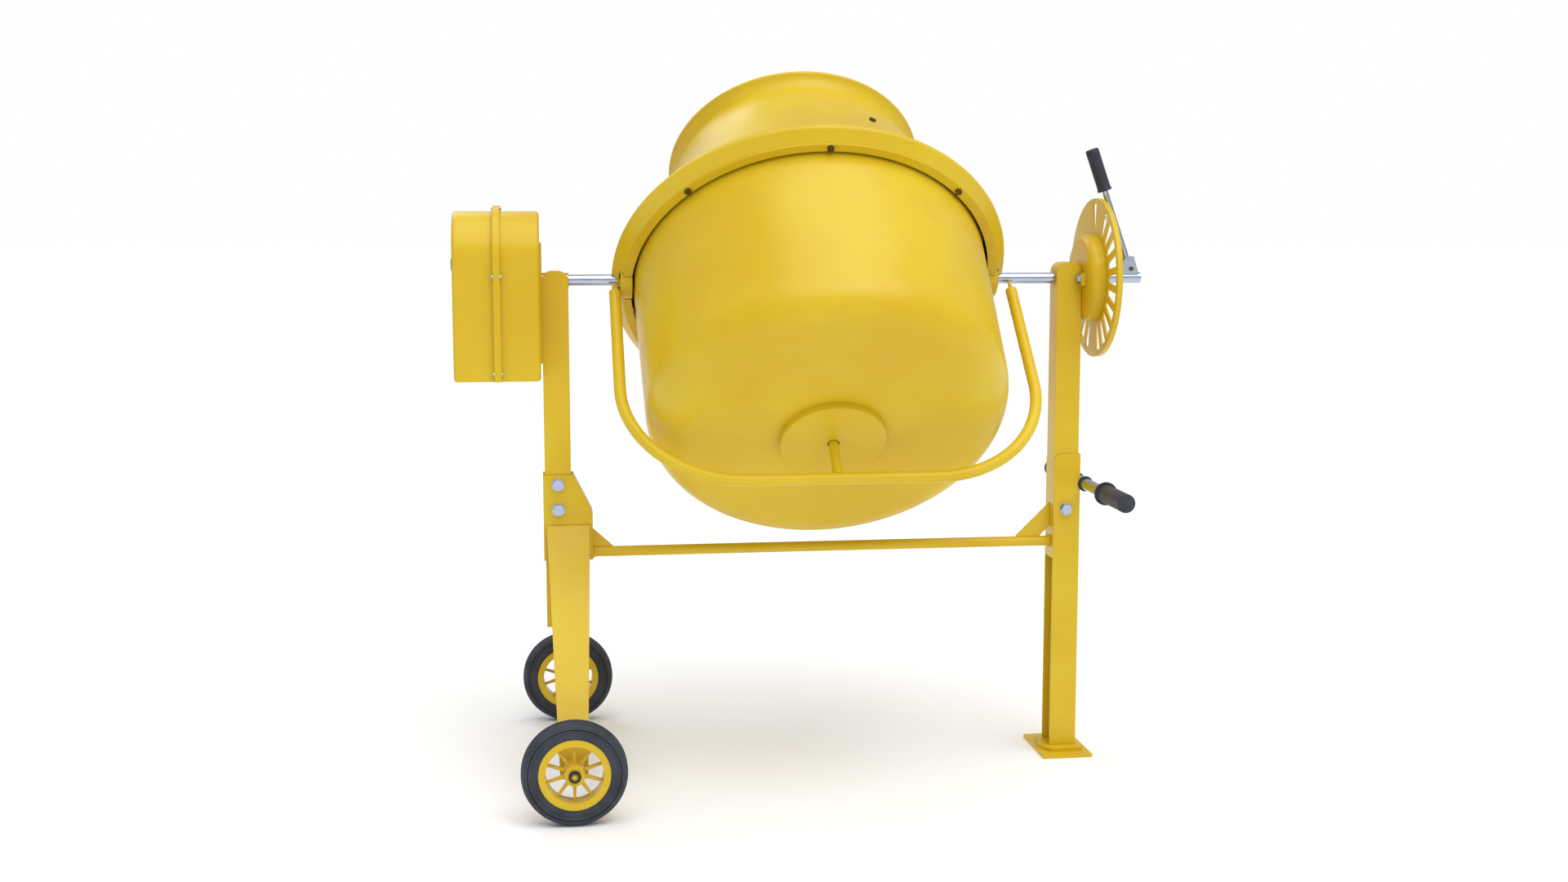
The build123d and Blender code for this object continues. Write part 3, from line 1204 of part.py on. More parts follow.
def housing_seam_band():
    """Proud strip over the seam, up both sides and round the top."""
    x0 = SEAM_X - BAND_WIDTH / 2
    x1 = SEAM_X + BAND_WIDTH / 2
    band = case_block(-BAND_PROUD, x0, x1) - case_block(0, x0 - 1, x1 + 1)
    band = band - block(x0 - 1, x1 + 1, -CASE_HALF - 20, CASE_HALF + 20, CASE_BOTTOM - 20, CASE_BOTTOM)
    for y, z in screw_places():
        band = band - rod_x(x0 - 1, x1 + 1, M4, y, z)
    return AXIS_LEVEL * band


def screw_places():
    side = CASE_HALF + BAND_PROUD / 2
    return [(-side, 8), (-side, CASE_BOTTOM + 12), (side, 8), (side, CASE_BOTTOM + 12),
            (0, CASE_TOP + BAND_PROUD / 2)]


def housing_screws():
    pieces = []
    for y, z in screw_places():
        x0 = SEAM_X - BAND_WIDTH / 2
        x1 = SEAM_X + BAND_WIDTH / 2
        head = SCREW_HEAD_SHARE * M4
        screw = rod_x(x0, x1, M4, y, z) + rod_x(x0 - SCREW_HEAD, x0, head, y, z)
        screw = screw + rod_x(x1, x1 + SCREW_HEAD, head, y, z)
        pieces.append(AXIS_LEVEL * screw)
    return group(*pieces)


def housing_mount_plate():
    """Plate welded to the post's outer side that carries the drive housing."""
    x0 = CASE_INNER
    x1 = MOTOR_POST_X - HALF_POST
    plate = block(x0, x1, -MOUNT_HALF, MOUNT_HALF, MOUNT_LOW, MOUNT_HIGH)
    plate = plate - rod_x(x0 - 1, x1 + 1, SHAFT_RADIUS + BUSH_WALL + LOOSE)
    return AXIS_LEVEL * plate


def capacitor():
    x0 = CASE_OUTER + CASE_WALL
    can = rod_x(x0, x0 + CAPACITOR_LENGTH, CAPACITOR_RADIUS, CAPACITOR_Y, CAPACITOR_Z)
    can = fillet(can.edges(), 2.0)
    return AXIS_LEVEL * can


def switch_box():
    """Switch body with two button wells and a shrouded inlet with three pins."""
    x0 = CASE_OUTER + 1
    half_y = SWITCH_WIDTH / 2
    half_z = SWITCH_HEIGHT / 2
    box = block(x0, x0 + SWITCH_DEPTH, -half_y, half_y, -half_z, half_z)
    for y, _ in button_places():
        box = box - rod_x(x0 - 1, x0 + 16, BUTTON_RADIUS + LOOSE, y, BUTTON_RISE)
    box = box - rod_x(x0 - 1, x0 + INLET_DEPTH, INLET_RADIUS, 0, -half_z + INLET_DROP)
    for index in range(3):
        angle = math.radians(90 + 120 * index)
        y = 8 * math.cos(angle)
        z = -half_z + INLET_DROP + 8 * math.sin(angle)
        box = box + rod_x(x0 + 8, x0 + INLET_DEPTH + 1, 2.4, y, z)
    return Pos(0, SWITCH_Y, TILT_HEIGHT + SWITCH_Z) * box


def button_places():
    return [(-BUTTON_PITCH / 2, "start"), (BUTTON_PITCH / 2, "stop")]


def button(name):
    """Round push button; pressing moves it towards +X."""
    x0 = CASE_OUTER + 1
    y = dict((label, place) for place, label in button_places())[name]
    cap = rod_x(x0 - BUTTON_TRAVEL, x0 + 16 - BUTTON_TRAVEL - LOOSE, BUTTON_RADIUS)
    cap = fillet(cap.edges().group_by(Axis.X)[0], 1.0)
    return Pos(0, SWITCH_Y + y, TILT_HEIGHT + SWITCH_Z + BUTTON_RISE) * cap


NODES = {
    "motor_side_post": motor_side_post(),
    "lever_side_post": lever_side_post(),
    "lever_side_leg": lever_side_leg(),
    "foot_plate": foot_plate(),
    "foot_stiffener": foot_stiffener(),
    "post_brackets": post_brackets(),
    "wheel_legs": wheel_legs(),
    "wheel_axle": wheel_axle(),
    "axle_caps": axle_caps(),
    "crossbar": crossbar(),
    "crossbar_gussets": crossbar_gussets(),
    "frame_bolts": frame_bolts(),
    "handle_bar": handle_bar(),
    "handle_grips": handle_grips(),
    "handle_end_fittings": handle_end_fittings(),
    "post_bushes": post_bushes(),
    "lock_disc": lock_disc(),
    "disc_hub": disc_hub(),
    "housing_inner_shell": housing_inner_shell(),
    "housing_outer_shell": housing_outer_shell(),
    "housing_seam_band": housing_seam_band(),
    "housing_screws": housing_screws(),
    "housing_mount_plate": housing_mount_plate(),
    "motor": motor(),
    "capacitor": capacitor(),
    "switch_box": switch_box(),
    "drive_belt": drive_belt(),
    "motor_shaft": motor_shaft(),
    "motor_pulley": motor_pulley(),
    "cooling_fan": cooling_fan(),
    "drive_shaft": drive_shaft(),
    "large_pulley": large_pulley(),
    "pinion": pinion(),
    "yoke": yoke(),
    "trunnion_tube": trunnion_tube(),
    "tilt_shaft": tilt_shaft(),
    "pinion_cup": pinion_cup(),
    "trunnion_boss": trunnion_boss(),
    "gear_guard_upper": guard_half(-1),
    "gear_guard_lower": guard_half(1),
    "guard_lip_rings": guard_lip_rings(),
    "cradle_bolts": cradle_bolts(),
    "spindle": spindle(),
    "lever_bracket": lever_bracket(),
    "lever_rod": lever_rod(),
    "lever_grip": lever_grip(),
    "bowl": bowl(),
    "cone": cone(),
    "ring_gear": ring_gear(),
    "drum_bolts": drum_bolts(),
    "hub_disc": hub_disc(),
    "bearing_housing": bearing_housing(),
    "drum_bearings": drum_bearings(),
    "mixing_blades": mixing_blades(),
    "front_tyre": tyre(-1),
    "front_rim": rim(-1),
    "rear_tyre": tyre(1),
    "rear_rim": rim(1),
    "start_button": button("start"),
    "stop_button": button("stop"),
}

os.makedirs("parts", exist_ok=True)
for node, shape in NODES.items():
    export_step(shape, f"parts/{node}.step")
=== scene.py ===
"""Looks of a tilting-drum concrete mixer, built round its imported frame. Metres, +Z up."""

import json
import math

import bpy
from bpy.props import FloatProperty, FloatVectorProperty, IntProperty, PointerProperty
from mathutils import Matrix, Vector


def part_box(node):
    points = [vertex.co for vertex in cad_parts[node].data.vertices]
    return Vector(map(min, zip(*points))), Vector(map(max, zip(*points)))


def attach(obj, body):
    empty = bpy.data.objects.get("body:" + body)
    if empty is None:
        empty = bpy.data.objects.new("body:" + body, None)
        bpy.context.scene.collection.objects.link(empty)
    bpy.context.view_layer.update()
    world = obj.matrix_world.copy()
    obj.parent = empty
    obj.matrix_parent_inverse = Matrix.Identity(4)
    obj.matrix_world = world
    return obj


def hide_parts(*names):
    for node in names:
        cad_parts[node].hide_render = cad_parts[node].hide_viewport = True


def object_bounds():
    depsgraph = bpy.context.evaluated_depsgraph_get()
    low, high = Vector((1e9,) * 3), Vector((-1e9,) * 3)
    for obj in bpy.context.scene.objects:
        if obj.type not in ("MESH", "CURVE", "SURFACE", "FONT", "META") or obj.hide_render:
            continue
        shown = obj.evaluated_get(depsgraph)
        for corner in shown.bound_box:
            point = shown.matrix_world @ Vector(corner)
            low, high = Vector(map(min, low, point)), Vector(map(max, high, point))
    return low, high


bl_info = {
    "name": "Concrete Mixer Looks",
    "version": (1, 0, 0),
    "blender": (4, 2, 0),
    "location": "View3D > Sidebar > Mixer",
    "description": "Models and paints the visible pieces of a tilting-drum concrete mixer",
    "category": "Add Mesh",
}

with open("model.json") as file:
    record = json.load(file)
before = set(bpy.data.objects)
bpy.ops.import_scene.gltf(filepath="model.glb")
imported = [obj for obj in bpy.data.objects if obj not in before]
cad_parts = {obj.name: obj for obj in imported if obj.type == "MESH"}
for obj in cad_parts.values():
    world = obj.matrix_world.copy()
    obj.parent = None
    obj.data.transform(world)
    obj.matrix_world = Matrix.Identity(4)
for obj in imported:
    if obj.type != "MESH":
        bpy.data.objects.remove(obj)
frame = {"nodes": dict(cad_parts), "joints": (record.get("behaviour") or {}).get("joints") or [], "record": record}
CAD_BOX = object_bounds()
JOINTS = {joint["name"]: joint for joint in frame["joints"]}
SLOTS = {part["node"]: part["material_slot"] for part in frame["record"]["subparts"]}
DRUM_CENTRE = Vector(JOINTS["drum_spin"]["pos_m"])
DRUM_AXIS = Vector(JOINTS["drum_spin"]["axis"])
ALONG_X = Matrix.Rotation(math.radians(90), 4, "Y")
ALONG_MINUS_Y = Matrix.Rotation(math.radians(90), 4, "X")
ALONG_Y = Matrix.Rotation(math.radians(-90), 4, "X")
LATHE_STEPS = 144
AIR_LIGHT = 0.50
STUDIO_LIGHTS = [
    ("sky_panel", "SUN", (0.5, -1.2, 3.0), 70.0, 1.98),
    ("key_light", "AREA", (0.7, -1.9, 2.6), 1.3, 9.0),
    ("rim_light", "AREA", (-1.4, 2.6, 2.4), 1.8, 18.0),
]
SMALL_STEPS = 64
WELD_STEPS = 48
MERGE_DISTANCE = 0.000002
SMOOTH_ANGLE = 35.0
CAMERA_PLACE = (-0.8727, -2.9551, 0.9076)
CAMERA_DOWN = 7.051
CAMERA_TURN = -7.674
CAMERA_LENS = 41.777
CAMERA_SENSOR = 36.0
FLOOR_RADIUS = 60.0
SITE_DUST = (0.60, 0.48, 0.25)
TYRE_DUST = (0.05, 0.055, 0.07)
OXIDE_STAIN = (0.30, 0.24, 0.12)
IRON = (0.20, 0.19, 0.18)
IRON_STAIN = (0.10, 0.075, 0.05)
RACE_STEEL = (0.60, 0.61, 0.64)
BRONZE = (0.55, 0.36, 0.14)
MOTOR_GREY = (0.30, 0.32, 0.34)
BLACK_PLASTIC = (0.018, 0.018, 0.020)
BELT_BLACK = (0.012, 0.012, 0.012)
START_GREEN = (0.01, 0.25, 0.03)
STOP_RED = (0.45, 0.012, 0.008)
FLANGE_EDGE = 0.0006         # chamfer on the rims of both flanges
SPINDLE_HOLE = 0.034         # bearing housing's flange beyond the hole in the bowl's bottom
CONE_FOOT = 0.004            # flange's top to the start of the cone's wall
NECK_RISE = 0.009            # neck to the flare below the rolled mouth
SEAT_STEP = 0.0015           # tyre's bead below its sidewall
RING_STEP = 0.0009           # ring moulded in the sidewall
TREAD_CROWN = 0.0012
TREAD_EDGE = 0.0004
GRIP_BORE = 0.0052
COLLAR_PROUD = 0.001
COLLAR_LENGTH = 0.004
RIB_START = 0.010
GRIP_DOME = 0.003
GRIP_PINHOLE = 0.0004
RIB_SLOPE = 0.0006
RIB_WIDTH = 0.0024
PLAIN_END = 0.014            # grip's end with no ring grooves
END_WALL = 0.004             # grip's closed end
GROOVE_MOUTH = 0.0016        # half the width of a tread groove at the tread
GROOVE_FLOOR = 0.0009        # half its width at the bottom
CAP_DEPTH = 0.006
CAP_SEAT = 0.0037            # depth of the cap's socket for the axle
AXLE_RADIUS = 0.008
STAR_RECESS = 0.0005
STAR_THICK = 0.0004
FINISHES = {}                # filled once, by slot


# --- sizes and colours ---
class MixerDrumSizes(bpy.types.PropertyGroup):
    radius: FloatProperty(name="Bowl Radius", description="Outside radius at the flange", default=0.288,
                          unit="LENGTH")
    base_radius: FloatProperty(name="Base Radius", description="Outside radius at the bottom corner",
                               default=0.281, unit="LENGTH")
    corner: FloatProperty(name="Corner Radius", description="Round between wall and bottom", default=0.068,
                          unit="LENGTH")
    depth: FloatProperty(name="Bowl Depth", description="Tilt axis to the bottom", default=0.336,
                         unit="LENGTH")
    wall: FloatProperty(name="Wall", description="Sheet thickness", default=0.002, unit="LENGTH")
    flange: FloatProperty(name="Flange Radius", description="Outside radius of the bolted flanges",
                          default=0.302, unit="LENGTH")
    flange_level: FloatProperty(name="Flange Level", description="Tilt axis to the flange's underside",
                                default=0.026, unit="LENGTH")
    flange_thick: FloatProperty(name="Flange Thickness", description="Thickness of each flange",
                                default=0.0025, unit="LENGTH")
    shoulder: FloatProperty(name="Shoulder Radius", description="Cone's outside radius at its foot",
                            default=0.285, unit="LENGTH")
    shoulder_level: FloatProperty(name="Shoulder Level", description="Tilt axis to the cone's foot",
                                  default=0.044, unit="LENGTH")
    neck: FloatProperty(name="Neck Radius", description="Cone's outside radius at the neck", default=0.203,
                        unit="LENGTH")
    neck_level: FloatProperty(name="Neck Level", description="Tilt axis to the neck", default=0.240,
                              unit="LENGTH")
    hollow: FloatProperty(name="Hollow", description="How far the cone bows inwards", default=0.005,
                          unit="LENGTH")
    lip: FloatProperty(name="Lip Radius", description="Radius of the rolled lip's middle", default=0.2106,
                       unit="LENGTH")
    lip_level: FloatProperty(name="Lip Level", description="Tilt axis to the lip's middle", default=0.2626,
                             unit="LENGTH")
    bead: FloatProperty(name="Lip Bead", description="Radius of the rolled wire", default=0.0042,
                        unit="LENGTH")


class MixerWheelSizes(bpy.types.PropertyGroup):
    rim_radius: FloatProperty(name="Rim Radius", description="Where the tyre sits", default=0.0544,
                              unit="LENGTH")
    shoulder: FloatProperty(name="Tyre Shoulder", description="Round of the tyre's edges", default=0.0095,
                            unit="LENGTH")
    grooves: IntProperty(name="Tread Grooves", description="Grooves round the tread", default=3, min=0, max=6)
    groove_depth: FloatProperty(name="Groove Depth", description="Depth of the tread grooves", default=0.0012,
                                unit="LENGTH")


class MixerCapSizes(bpy.types.PropertyGroup):
    points: IntProperty(name="Star Points", description="Points of the star in each axle cap", default=12,
                        min=3, max=24)
    star_radius: FloatProperty(name="Star Radius", description="Centre to a point of the star",
                               default=0.0074, unit="LENGTH")
    star_waist: FloatProperty(name="Star Waist", description="Centre to between two points",
                              default=0.0024, unit="LENGTH")
    edge: FloatProperty(name="Cap Edge", description="Round of the cap's rim", default=0.0015, unit="LENGTH")


class MixerGripSizes(bpy.types.PropertyGroup):
    rib_depth: FloatProperty(name="Rib Depth", description="Depth of the grip's ring grooves", default=0.0003,
                             unit="LENGTH")
    rib_pitch: FloatProperty(name="Rib Pitch", description="Distance between ring grooves", default=0.006,
                             unit="LENGTH")


class MixerWeldSizes(bpy.types.PropertyGroup):
    radius: FloatProperty(name="Weld Radius", description="Thickness of the weld beads", default=0.0018,
                          unit="LENGTH")
    ripple: FloatProperty(name="Ripple", description="Unevenness of the weld beads", default=0.00045,
                          unit="LENGTH")


class MixerColours(bpy.types.PropertyGroup):
    paint: FloatVectorProperty(name="Paint", description="Golden yellow top coat", subtype="COLOR", size=3,
                               default=(0.71, 0.51, 0.018), min=0, max=1)
    paint_deep: FloatVectorProperty(name="Paint Shade", description="Deeper patches of the top coat",
                                    subtype="COLOR", size=3, default=(0.66, 0.435, 0.010), min=0, max=1)
    zinc: FloatVectorProperty(name="Zinc", description="Plated shafts and bolts", subtype="COLOR", size=3,
                              default=(0.52, 0.58, 0.70), min=0, max=1)
    oxide: FloatVectorProperty(name="Oxide Bolts", description="Dark bolts of the drum", subtype="COLOR",
                               size=3, default=(0.14, 0.10, 0.05), min=0, max=1)
    rubber: FloatVectorProperty(name="Rubber", description="Tyres and grips", subtype="COLOR", size=3,
                                default=(0.030, 0.034, 0.046), min=0, max=1)
    floor: FloatVectorProperty(name="Floor", description="Pale floor", subtype="COLOR", size=3,
                               default=(0.98, 0.985, 1.0), min=0, max=1)


PROPERTY_GROUPS = {
    "mixer_drum": MixerDrumSizes,
    "mixer_wheels": MixerWheelSizes,
    "mixer_caps": MixerCapSizes,
    "mixer_grips": MixerGripSizes,
    "mixer_welds": MixerWeldSizes,
    "mixer_colours": MixerColours,
}


# --- materials ---
def new_material(name):
    """Material with its Principled shader and Object coordinates."""
    material = bpy.data.materials.new(name)
    material.use_nodes = True
    tree = material.node_tree
    shader = tree.nodes["Principled BSDF"]
    coordinates = tree.nodes.new("ShaderNodeTexCoord")
    return material, tree, shader, coordinates.outputs["Object"]


def noise(tree, place, scale, detail=3.0, stretch=None):
    """Noise pattern, stretched by a Mapping node where asked."""
    if stretch:
        mapping = tree.nodes.new("ShaderNodeMapping")
        mapping.inputs["Scale"].default_value = stretch
        tree.links.new(place, mapping.inputs["Vector"])
        place = mapping.outputs["Vector"]
    pattern = tree.nodes.new("ShaderNodeTexNoise")
    pattern.inputs["Scale"].default_value = scale
    pattern.inputs["Detail"].default_value = detail
    tree.links.new(place, pattern.inputs["Vector"])
    return pattern.outputs["Fac"]


def spread(tree, value, low, high, out_low=0.0, out_high=1.0):
    """Clamped change of range."""
    node = tree.nodes.new("ShaderNodeMapRange")
    node.inputs["From Min"].default_value = low
    node.inputs["From Max"].default_value = high
    node.inputs["To Min"].default_value = out_low
    node.inputs["To Max"].default_value = out_high
    tree.links.new(value, node.inputs["Value"])
    return node.outputs["Result"]


def mixed(tree, factor, first, second):
    """Blend of two colours; each is a colour or an output."""
    node = tree.nodes.new("ShaderNodeMix")
    node.data_type = "RGBA"
    for socket, colour in ((node.inputs[6], first), (node.inputs[7], second)):
        if isinstance(colour, bpy.types.NodeSocket):
            tree.links.new(colour, socket)
        else:
            socket.default_value = (*colour, 1.0)
    tree.links.new(factor, node.inputs[0])
    return node.outputs[2]


def softened_edges(tree, radius):
    """Normal that rounds a hard edge by the radius."""
    node = tree.nodes.new("ShaderNodeBevel")
    node.samples = 4
    node.inputs["Radius"].default_value = radius
    return node.outputs["Normal"]


def bumped(tree, height, depth, strength=1.0, normal=None):
    """Bumped normal, laid over another normal where given."""
    node = tree.nodes.new("ShaderNodeBump")
    node.inputs["Distance"].default_value = depth
    node.inputs["Strength"].default_value = strength
    tree.links.new(height, node.inputs["Height"])
    if normal:
        tree.links.new(normal, node.inputs["Normal"])
    return node.outputs["Normal"]


def paint_material(name, colour, shade):
    """Glossy powder coat: soft patches of colour, orange peel, a little site dust and fine scratches."""
    material, tree, shader, place = new_material(name)
    patches = spread(tree, noise(tree, place, 5.0, 4.0), 0.35, 0.65)
    coat = mixed(tree, patches, colour, shade)
    dust = spread(tree, noise(tree, place, 38.0, 8.0), 0.60, 0.80, 0.0, 0.05)
    dusted = mixed(tree, dust, coat, SITE_DUST)
    tree.links.new(dusted, shader.inputs["Base Color"])
    gloss = spread(tree, noise(tree, place, 22.0, 6.0), 0.3, 0.7, 0.30, 0.42)
    tree.links.new(gloss, shader.inputs["Roughness"])
    shader.inputs["Coat Weight"].default_value = 0.10
    shader.inputs["Coat Roughness"].default_value = 0.18
    shader.inputs["Specular IOR Level"].default_value = 0.3
    peel = noise(tree, place, 420.0, 2.0)
    scratches = spread(tree, noise(tree, place, 60.0, 5.0, (1.0, 1.0, 14.0)), 0.66, 0.70)
    peeled = bumped(tree, peel, 0.00025, 0.35, softened_edges(tree, 0.0016))
    tree.links.new(bumped(tree, scratches, 0.0001, 0.2, peeled), shader.inputs["Normal"])
    return material


def metal_material(name, colour, roughness, grain, stretch, edge=0.0008, stain=None):
    """Metal with a drawn or cast grain, and stains where asked."""
    material, tree, shader, place = new_material(name)
    streaks = noise(tree, place, grain, 6.0, stretch)
    darker = tuple(channel * 0.78 for channel in colour)
    tone = mixed(tree, spread(tree, streaks, 0.3, 0.7), darker, colour)
    if stain:
        spots = spread(tree, noise(tree, place, 46.0, 7.0), 0.56, 0.74)
        tone = mixed(tree, spots, tone, stain)
    tree.links.new(tone, shader.inputs["Base Color"])
    shader.inputs["Metallic"].default_value = 1.0
    rough = spread(tree, streaks, 0.3, 0.7, roughness * 0.8, roughness * 1.3)
    tree.links.new(rough, shader.inputs["Roughness"])
    tree.links.new(bumped(tree, streaks, 0.00008, 0.4, softened_edges(tree, edge)), shader.inputs["Normal"])
    return material


def moulded_material(name, colour, roughness, grain, depth, dust=None, coat=0.0):
    """Moulded rubber or plastic with a fine skin, and dust where asked."""
    material, tree, shader, place = new_material(name)
    skin = noise(tree, place, grain, 4.0)
    lighter = tuple(min(1.0, channel * 1.5 + 0.004) for channel in colour)
    tone = mixed(tree, spread(tree, noise(tree, place, 30.0, 5.0), 0.35, 0.7), colour, lighter)
    if dust:
        film = spread(tree, noise(tree, place, 55.0, 9.0), 0.52, 0.72, 0.0, 0.35)
        tone = mixed(tree, film, tone, dust)
    tree.links.new(tone, shader.inputs["Base Color"])
    rough = spread(tree, skin, 0.3, 0.7, roughness * 0.9, roughness * 1.15)
    tree.links.new(rough, shader.inputs["Roughness"])
    shader.inputs["Coat Weight"].default_value = coat
    shader.inputs["Specular IOR Level"].default_value = 0.3
    tree.links.new(bumped(tree, skin, depth, 0.5, softened_edges(tree, 0.0008)), shader.inputs["Normal"])
    return material


def make_materials():
    """One finish for each material slot of the record."""
    colours = bpy.context.scene.mixer_colours
    drawn = (1.0, 30.0, 30.0)
    even = (1.0, 1.0, 1.0)
    paint, deep = tuple(colours.paint), tuple(colours.paint_deep)
    zinc, oxide, rubber = tuple(colours.zinc), tuple(colours.oxide), tuple(colours.rubber)
    return {
        "yellow_paint": paint_material("yellow_paint_finish", paint, deep),
        "bright_steel": metal_material("bright_steel_finish", zinc, 0.2, 30.0, drawn),
        "dark_steel": metal_material("dark_steel_finish", oxide, 0.42, 90.0, even, 0.0004, OXIDE_STAIN),
        "cast_iron": metal_material("cast_iron_finish", IRON, 0.5, 160.0, even, 0.0005, IRON_STAIN),
        "bearing_steel": metal_material("bearing_steel_finish", RACE_STEEL, 0.22, 40.0, even),
        "bush_bronze": metal_material("bush_bronze_finish", BRONZE, 0.35, 120.0, even),
        "grip_rubber": moulded_material("grip_rubber_finish", rubber, 0.48, 600.0, 0.0002),
        "tyre": moulded_material("tyre_finish", rubber, 0.62, 350.0, 0.0003, TYRE_DUST),
        "motor_grey": metal_material("motor_grey_finish", MOTOR_GREY, 0.5, 120.0, even),
        "black_plastic": moulded_material("black_plastic_finish", BLACK_PLASTIC, 0.5, 500.0, 0.0002),
        "belt_rubber": moulded_material("belt_rubber_finish", BELT_BLACK, 0.8, 400.0, 0.0002),
        "green_button": moulded_material("green_button_finish", START_GREEN, 0.28, 200.0, 0.00005, None, 0.3),
        "red_button": moulded_material("red_button_finish", STOP_RED, 0.28, 200.0, 0.00005, None, 0.3),
    }


def finish_of(slot):
    """Finish of a slot, made on first use."""
    if not FINISHES:
        FINISHES.update(make_materials())
    return FINISHES[slot]


# --- modelling by hand ---
def clear_selection():
    if bpy.context.object and bpy.context.object.mode != "OBJECT":
        bpy.ops.object.mode_set(mode="OBJECT")
    bpy.ops.object.select_all(action="DESELECT")


def pick_vertices(piece, wanted):
    """Selects vertices in edit mode by a test on their place."""
    bpy.ops.mesh.select_all(action="DESELECT")
    bpy.ops.object.mode_set(mode="OBJECT")
    for vertex in piece.data.vertices:
        vertex.select = bool(wanted(vertex.co))
    bpy.ops.object.mode_set(mode="EDIT")


def start_point(name, point):
    """A plane drawn together into one vertex, ready to be extruded."""
    clear_selection()
    bpy.ops.mesh.primitive_plane_add(size=0.01, location=(0, 0, 0))
    piece = bpy.context.object
    piece.name = name
    bpy.ops.object.mode_set(mode="EDIT")
    bpy.ops.mesh.select_all(action="SELECT")
    bpy.ops.mesh.merge(type="CENTER")
    bpy.ops.transform.translate(value=point)
    return piece


def lathe(name, outline, steps=LATHE_STEPS, closed=True):
    """Turns a (radius, height) outline about Z: one vertex is extruded along it, then spun."""
    points = [Vector((radius, 0.0, height)) for radius, height in outline]
    piece = start_point(name, points[0])
    for before, after in zip(points, points[1:]):
        bpy.ops.mesh.extrude_region_move(TRANSFORM_OT_translate={"value": after - before})
    if closed:
        bpy.ops.mesh.extrude_region_move(TRANSFORM_OT_translate={"value": points[0] - points[-1]})
    bpy.ops.mesh.select_all(action="SELECT")
    bpy.ops.mesh.remove_doubles(threshold=MERGE_DISTANCE)
    bpy.ops.mesh.spin(steps=steps, angle=2 * math.pi, center=(0, 0, 0), axis=(0, 0, 1))
    bpy.ops.mesh.select_all(action="SELECT")
    bpy.ops.mesh.remove_doubles(threshold=MERGE_DISTANCE)
    bpy.ops.mesh.normals_make_consistent(inside=False)
    bpy.ops.object.mode_set(mode="OBJECT")
    return piece


def place_piece(piece, matrix):
    """Moves a piece by a matrix and applies its place to its mesh."""
    clear_selection()
    piece.matrix_world = matrix
    piece.select_set(True)
    bpy.context.view_layer.objects.active = piece
    bpy.ops.object.transform_apply(location=True, rotation=True, scale=True)


def complete(piece, body, slot, replaced=()):
    """Smooths a finished piece, paints it and hangs it on its body."""
    clear_selection()
    piece.select_set(True)
    bpy.context.view_layer.objects.active = piece
    bpy.ops.object.shade_smooth_by_angle(angle=math.radians(SMOOTH_ANGLE))
    piece.data.materials.clear()
    piece.data.materials.append(finish_of(slot))
    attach(piece, body)
    if replaced:
        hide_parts(*replaced)
    return piece


def joined(name, pieces):
    """One piece made of several."""
    clear_selection()
    for piece in pieces:
        piece.select_set(True)
    bpy.context.view_layer.objects.active = pieces[0]
    bpy.ops.object.join()
    result = bpy.context.object
    result.name = name
    return result


def arc(centre, radius, start, end, steps):
    """Points of an arc in (radius, height), angles in degrees from straight out."""
    points = []
    for index in range(steps + 1):
        angle = math.radians(start + (end - start) * index / steps)
        points.append((centre[0] + radius * math.cos(angle), centre[1] + radius * math.sin(angle)))
    return points


def drum_place():
    """Matrix from the drum's own axes to its place at rest."""
    tilt = math.acos(max(-1.0, min(1.0, DRUM_AXIS.z)))
    return Matrix.Translation(DRUM_CENTRE) @ Matrix.Rotation(-tilt, 4, "X")


# --- drum ---
def bowl_side(sizes, inset):
    """Outline from the bottom's edge round the corner up to the flange, drawn in by the inset."""
    centre = (sizes.base_radius - sizes.corner, sizes.corner - sizes.depth)
    out = sizes.radius - centre[0]
    rise = sizes.flange_level - centre[1]
    lean = math.atan2(out, rise) - math.asin(sizes.corner / math.hypot(out, rise))
    radius = sizes.corner - inset
    points = arc(centre, radius, -90.0, -math.degrees(lean), 14)
    end = points[-1]
    top = sizes.flange_level + (sizes.flange_thick if inset else 0.0)
    for share in (0.02, 0.3, 0.6, 0.97, 1.0):
        height = end[1] + (top - end[1]) * share
        points.append((end[0] + (height - end[1]) * math.tan(lean), height))
    return points


class MIXER_OT_bowl(bpy.types.Operator):
    """Pressed bowl of the drum with its bolted flange"""

    bl_idname = "mixer.bowl"
    bl_label = "Drum Bowl"

    def execute(self, context):
        sizes = context.scene.mixer_drum
        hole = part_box("bearing_housing")[1].x - DRUM_CENTRE.x - SPINDLE_HOLE
        top = sizes.flange_level + sizes.flange_thick
        outer = bowl_side(sizes, 0.0)
        inner = bowl_side(sizes, sizes.wall)
        rim = FLANGE_EDGE
        outline = [(hole, -sizes.depth), (0.08, -sizes.depth), (0.16, -sizes.depth)] + outer
        outline += [(sizes.flange - rim, sizes.flange_level), (sizes.flange, sizes.flange_level + rim),
                    (sizes.flange, top - rim), (sizes.flange - rim, top)]
        outline += inner[::-1] + [(hole, sizes.wall - sizes.depth)]
        piece = lathe("drum_bowl", outline)
        place_piece(piece, drum_place())
        complete(piece, "drum", "yellow_paint", ["bowl"])
        return {"FINISHED"}


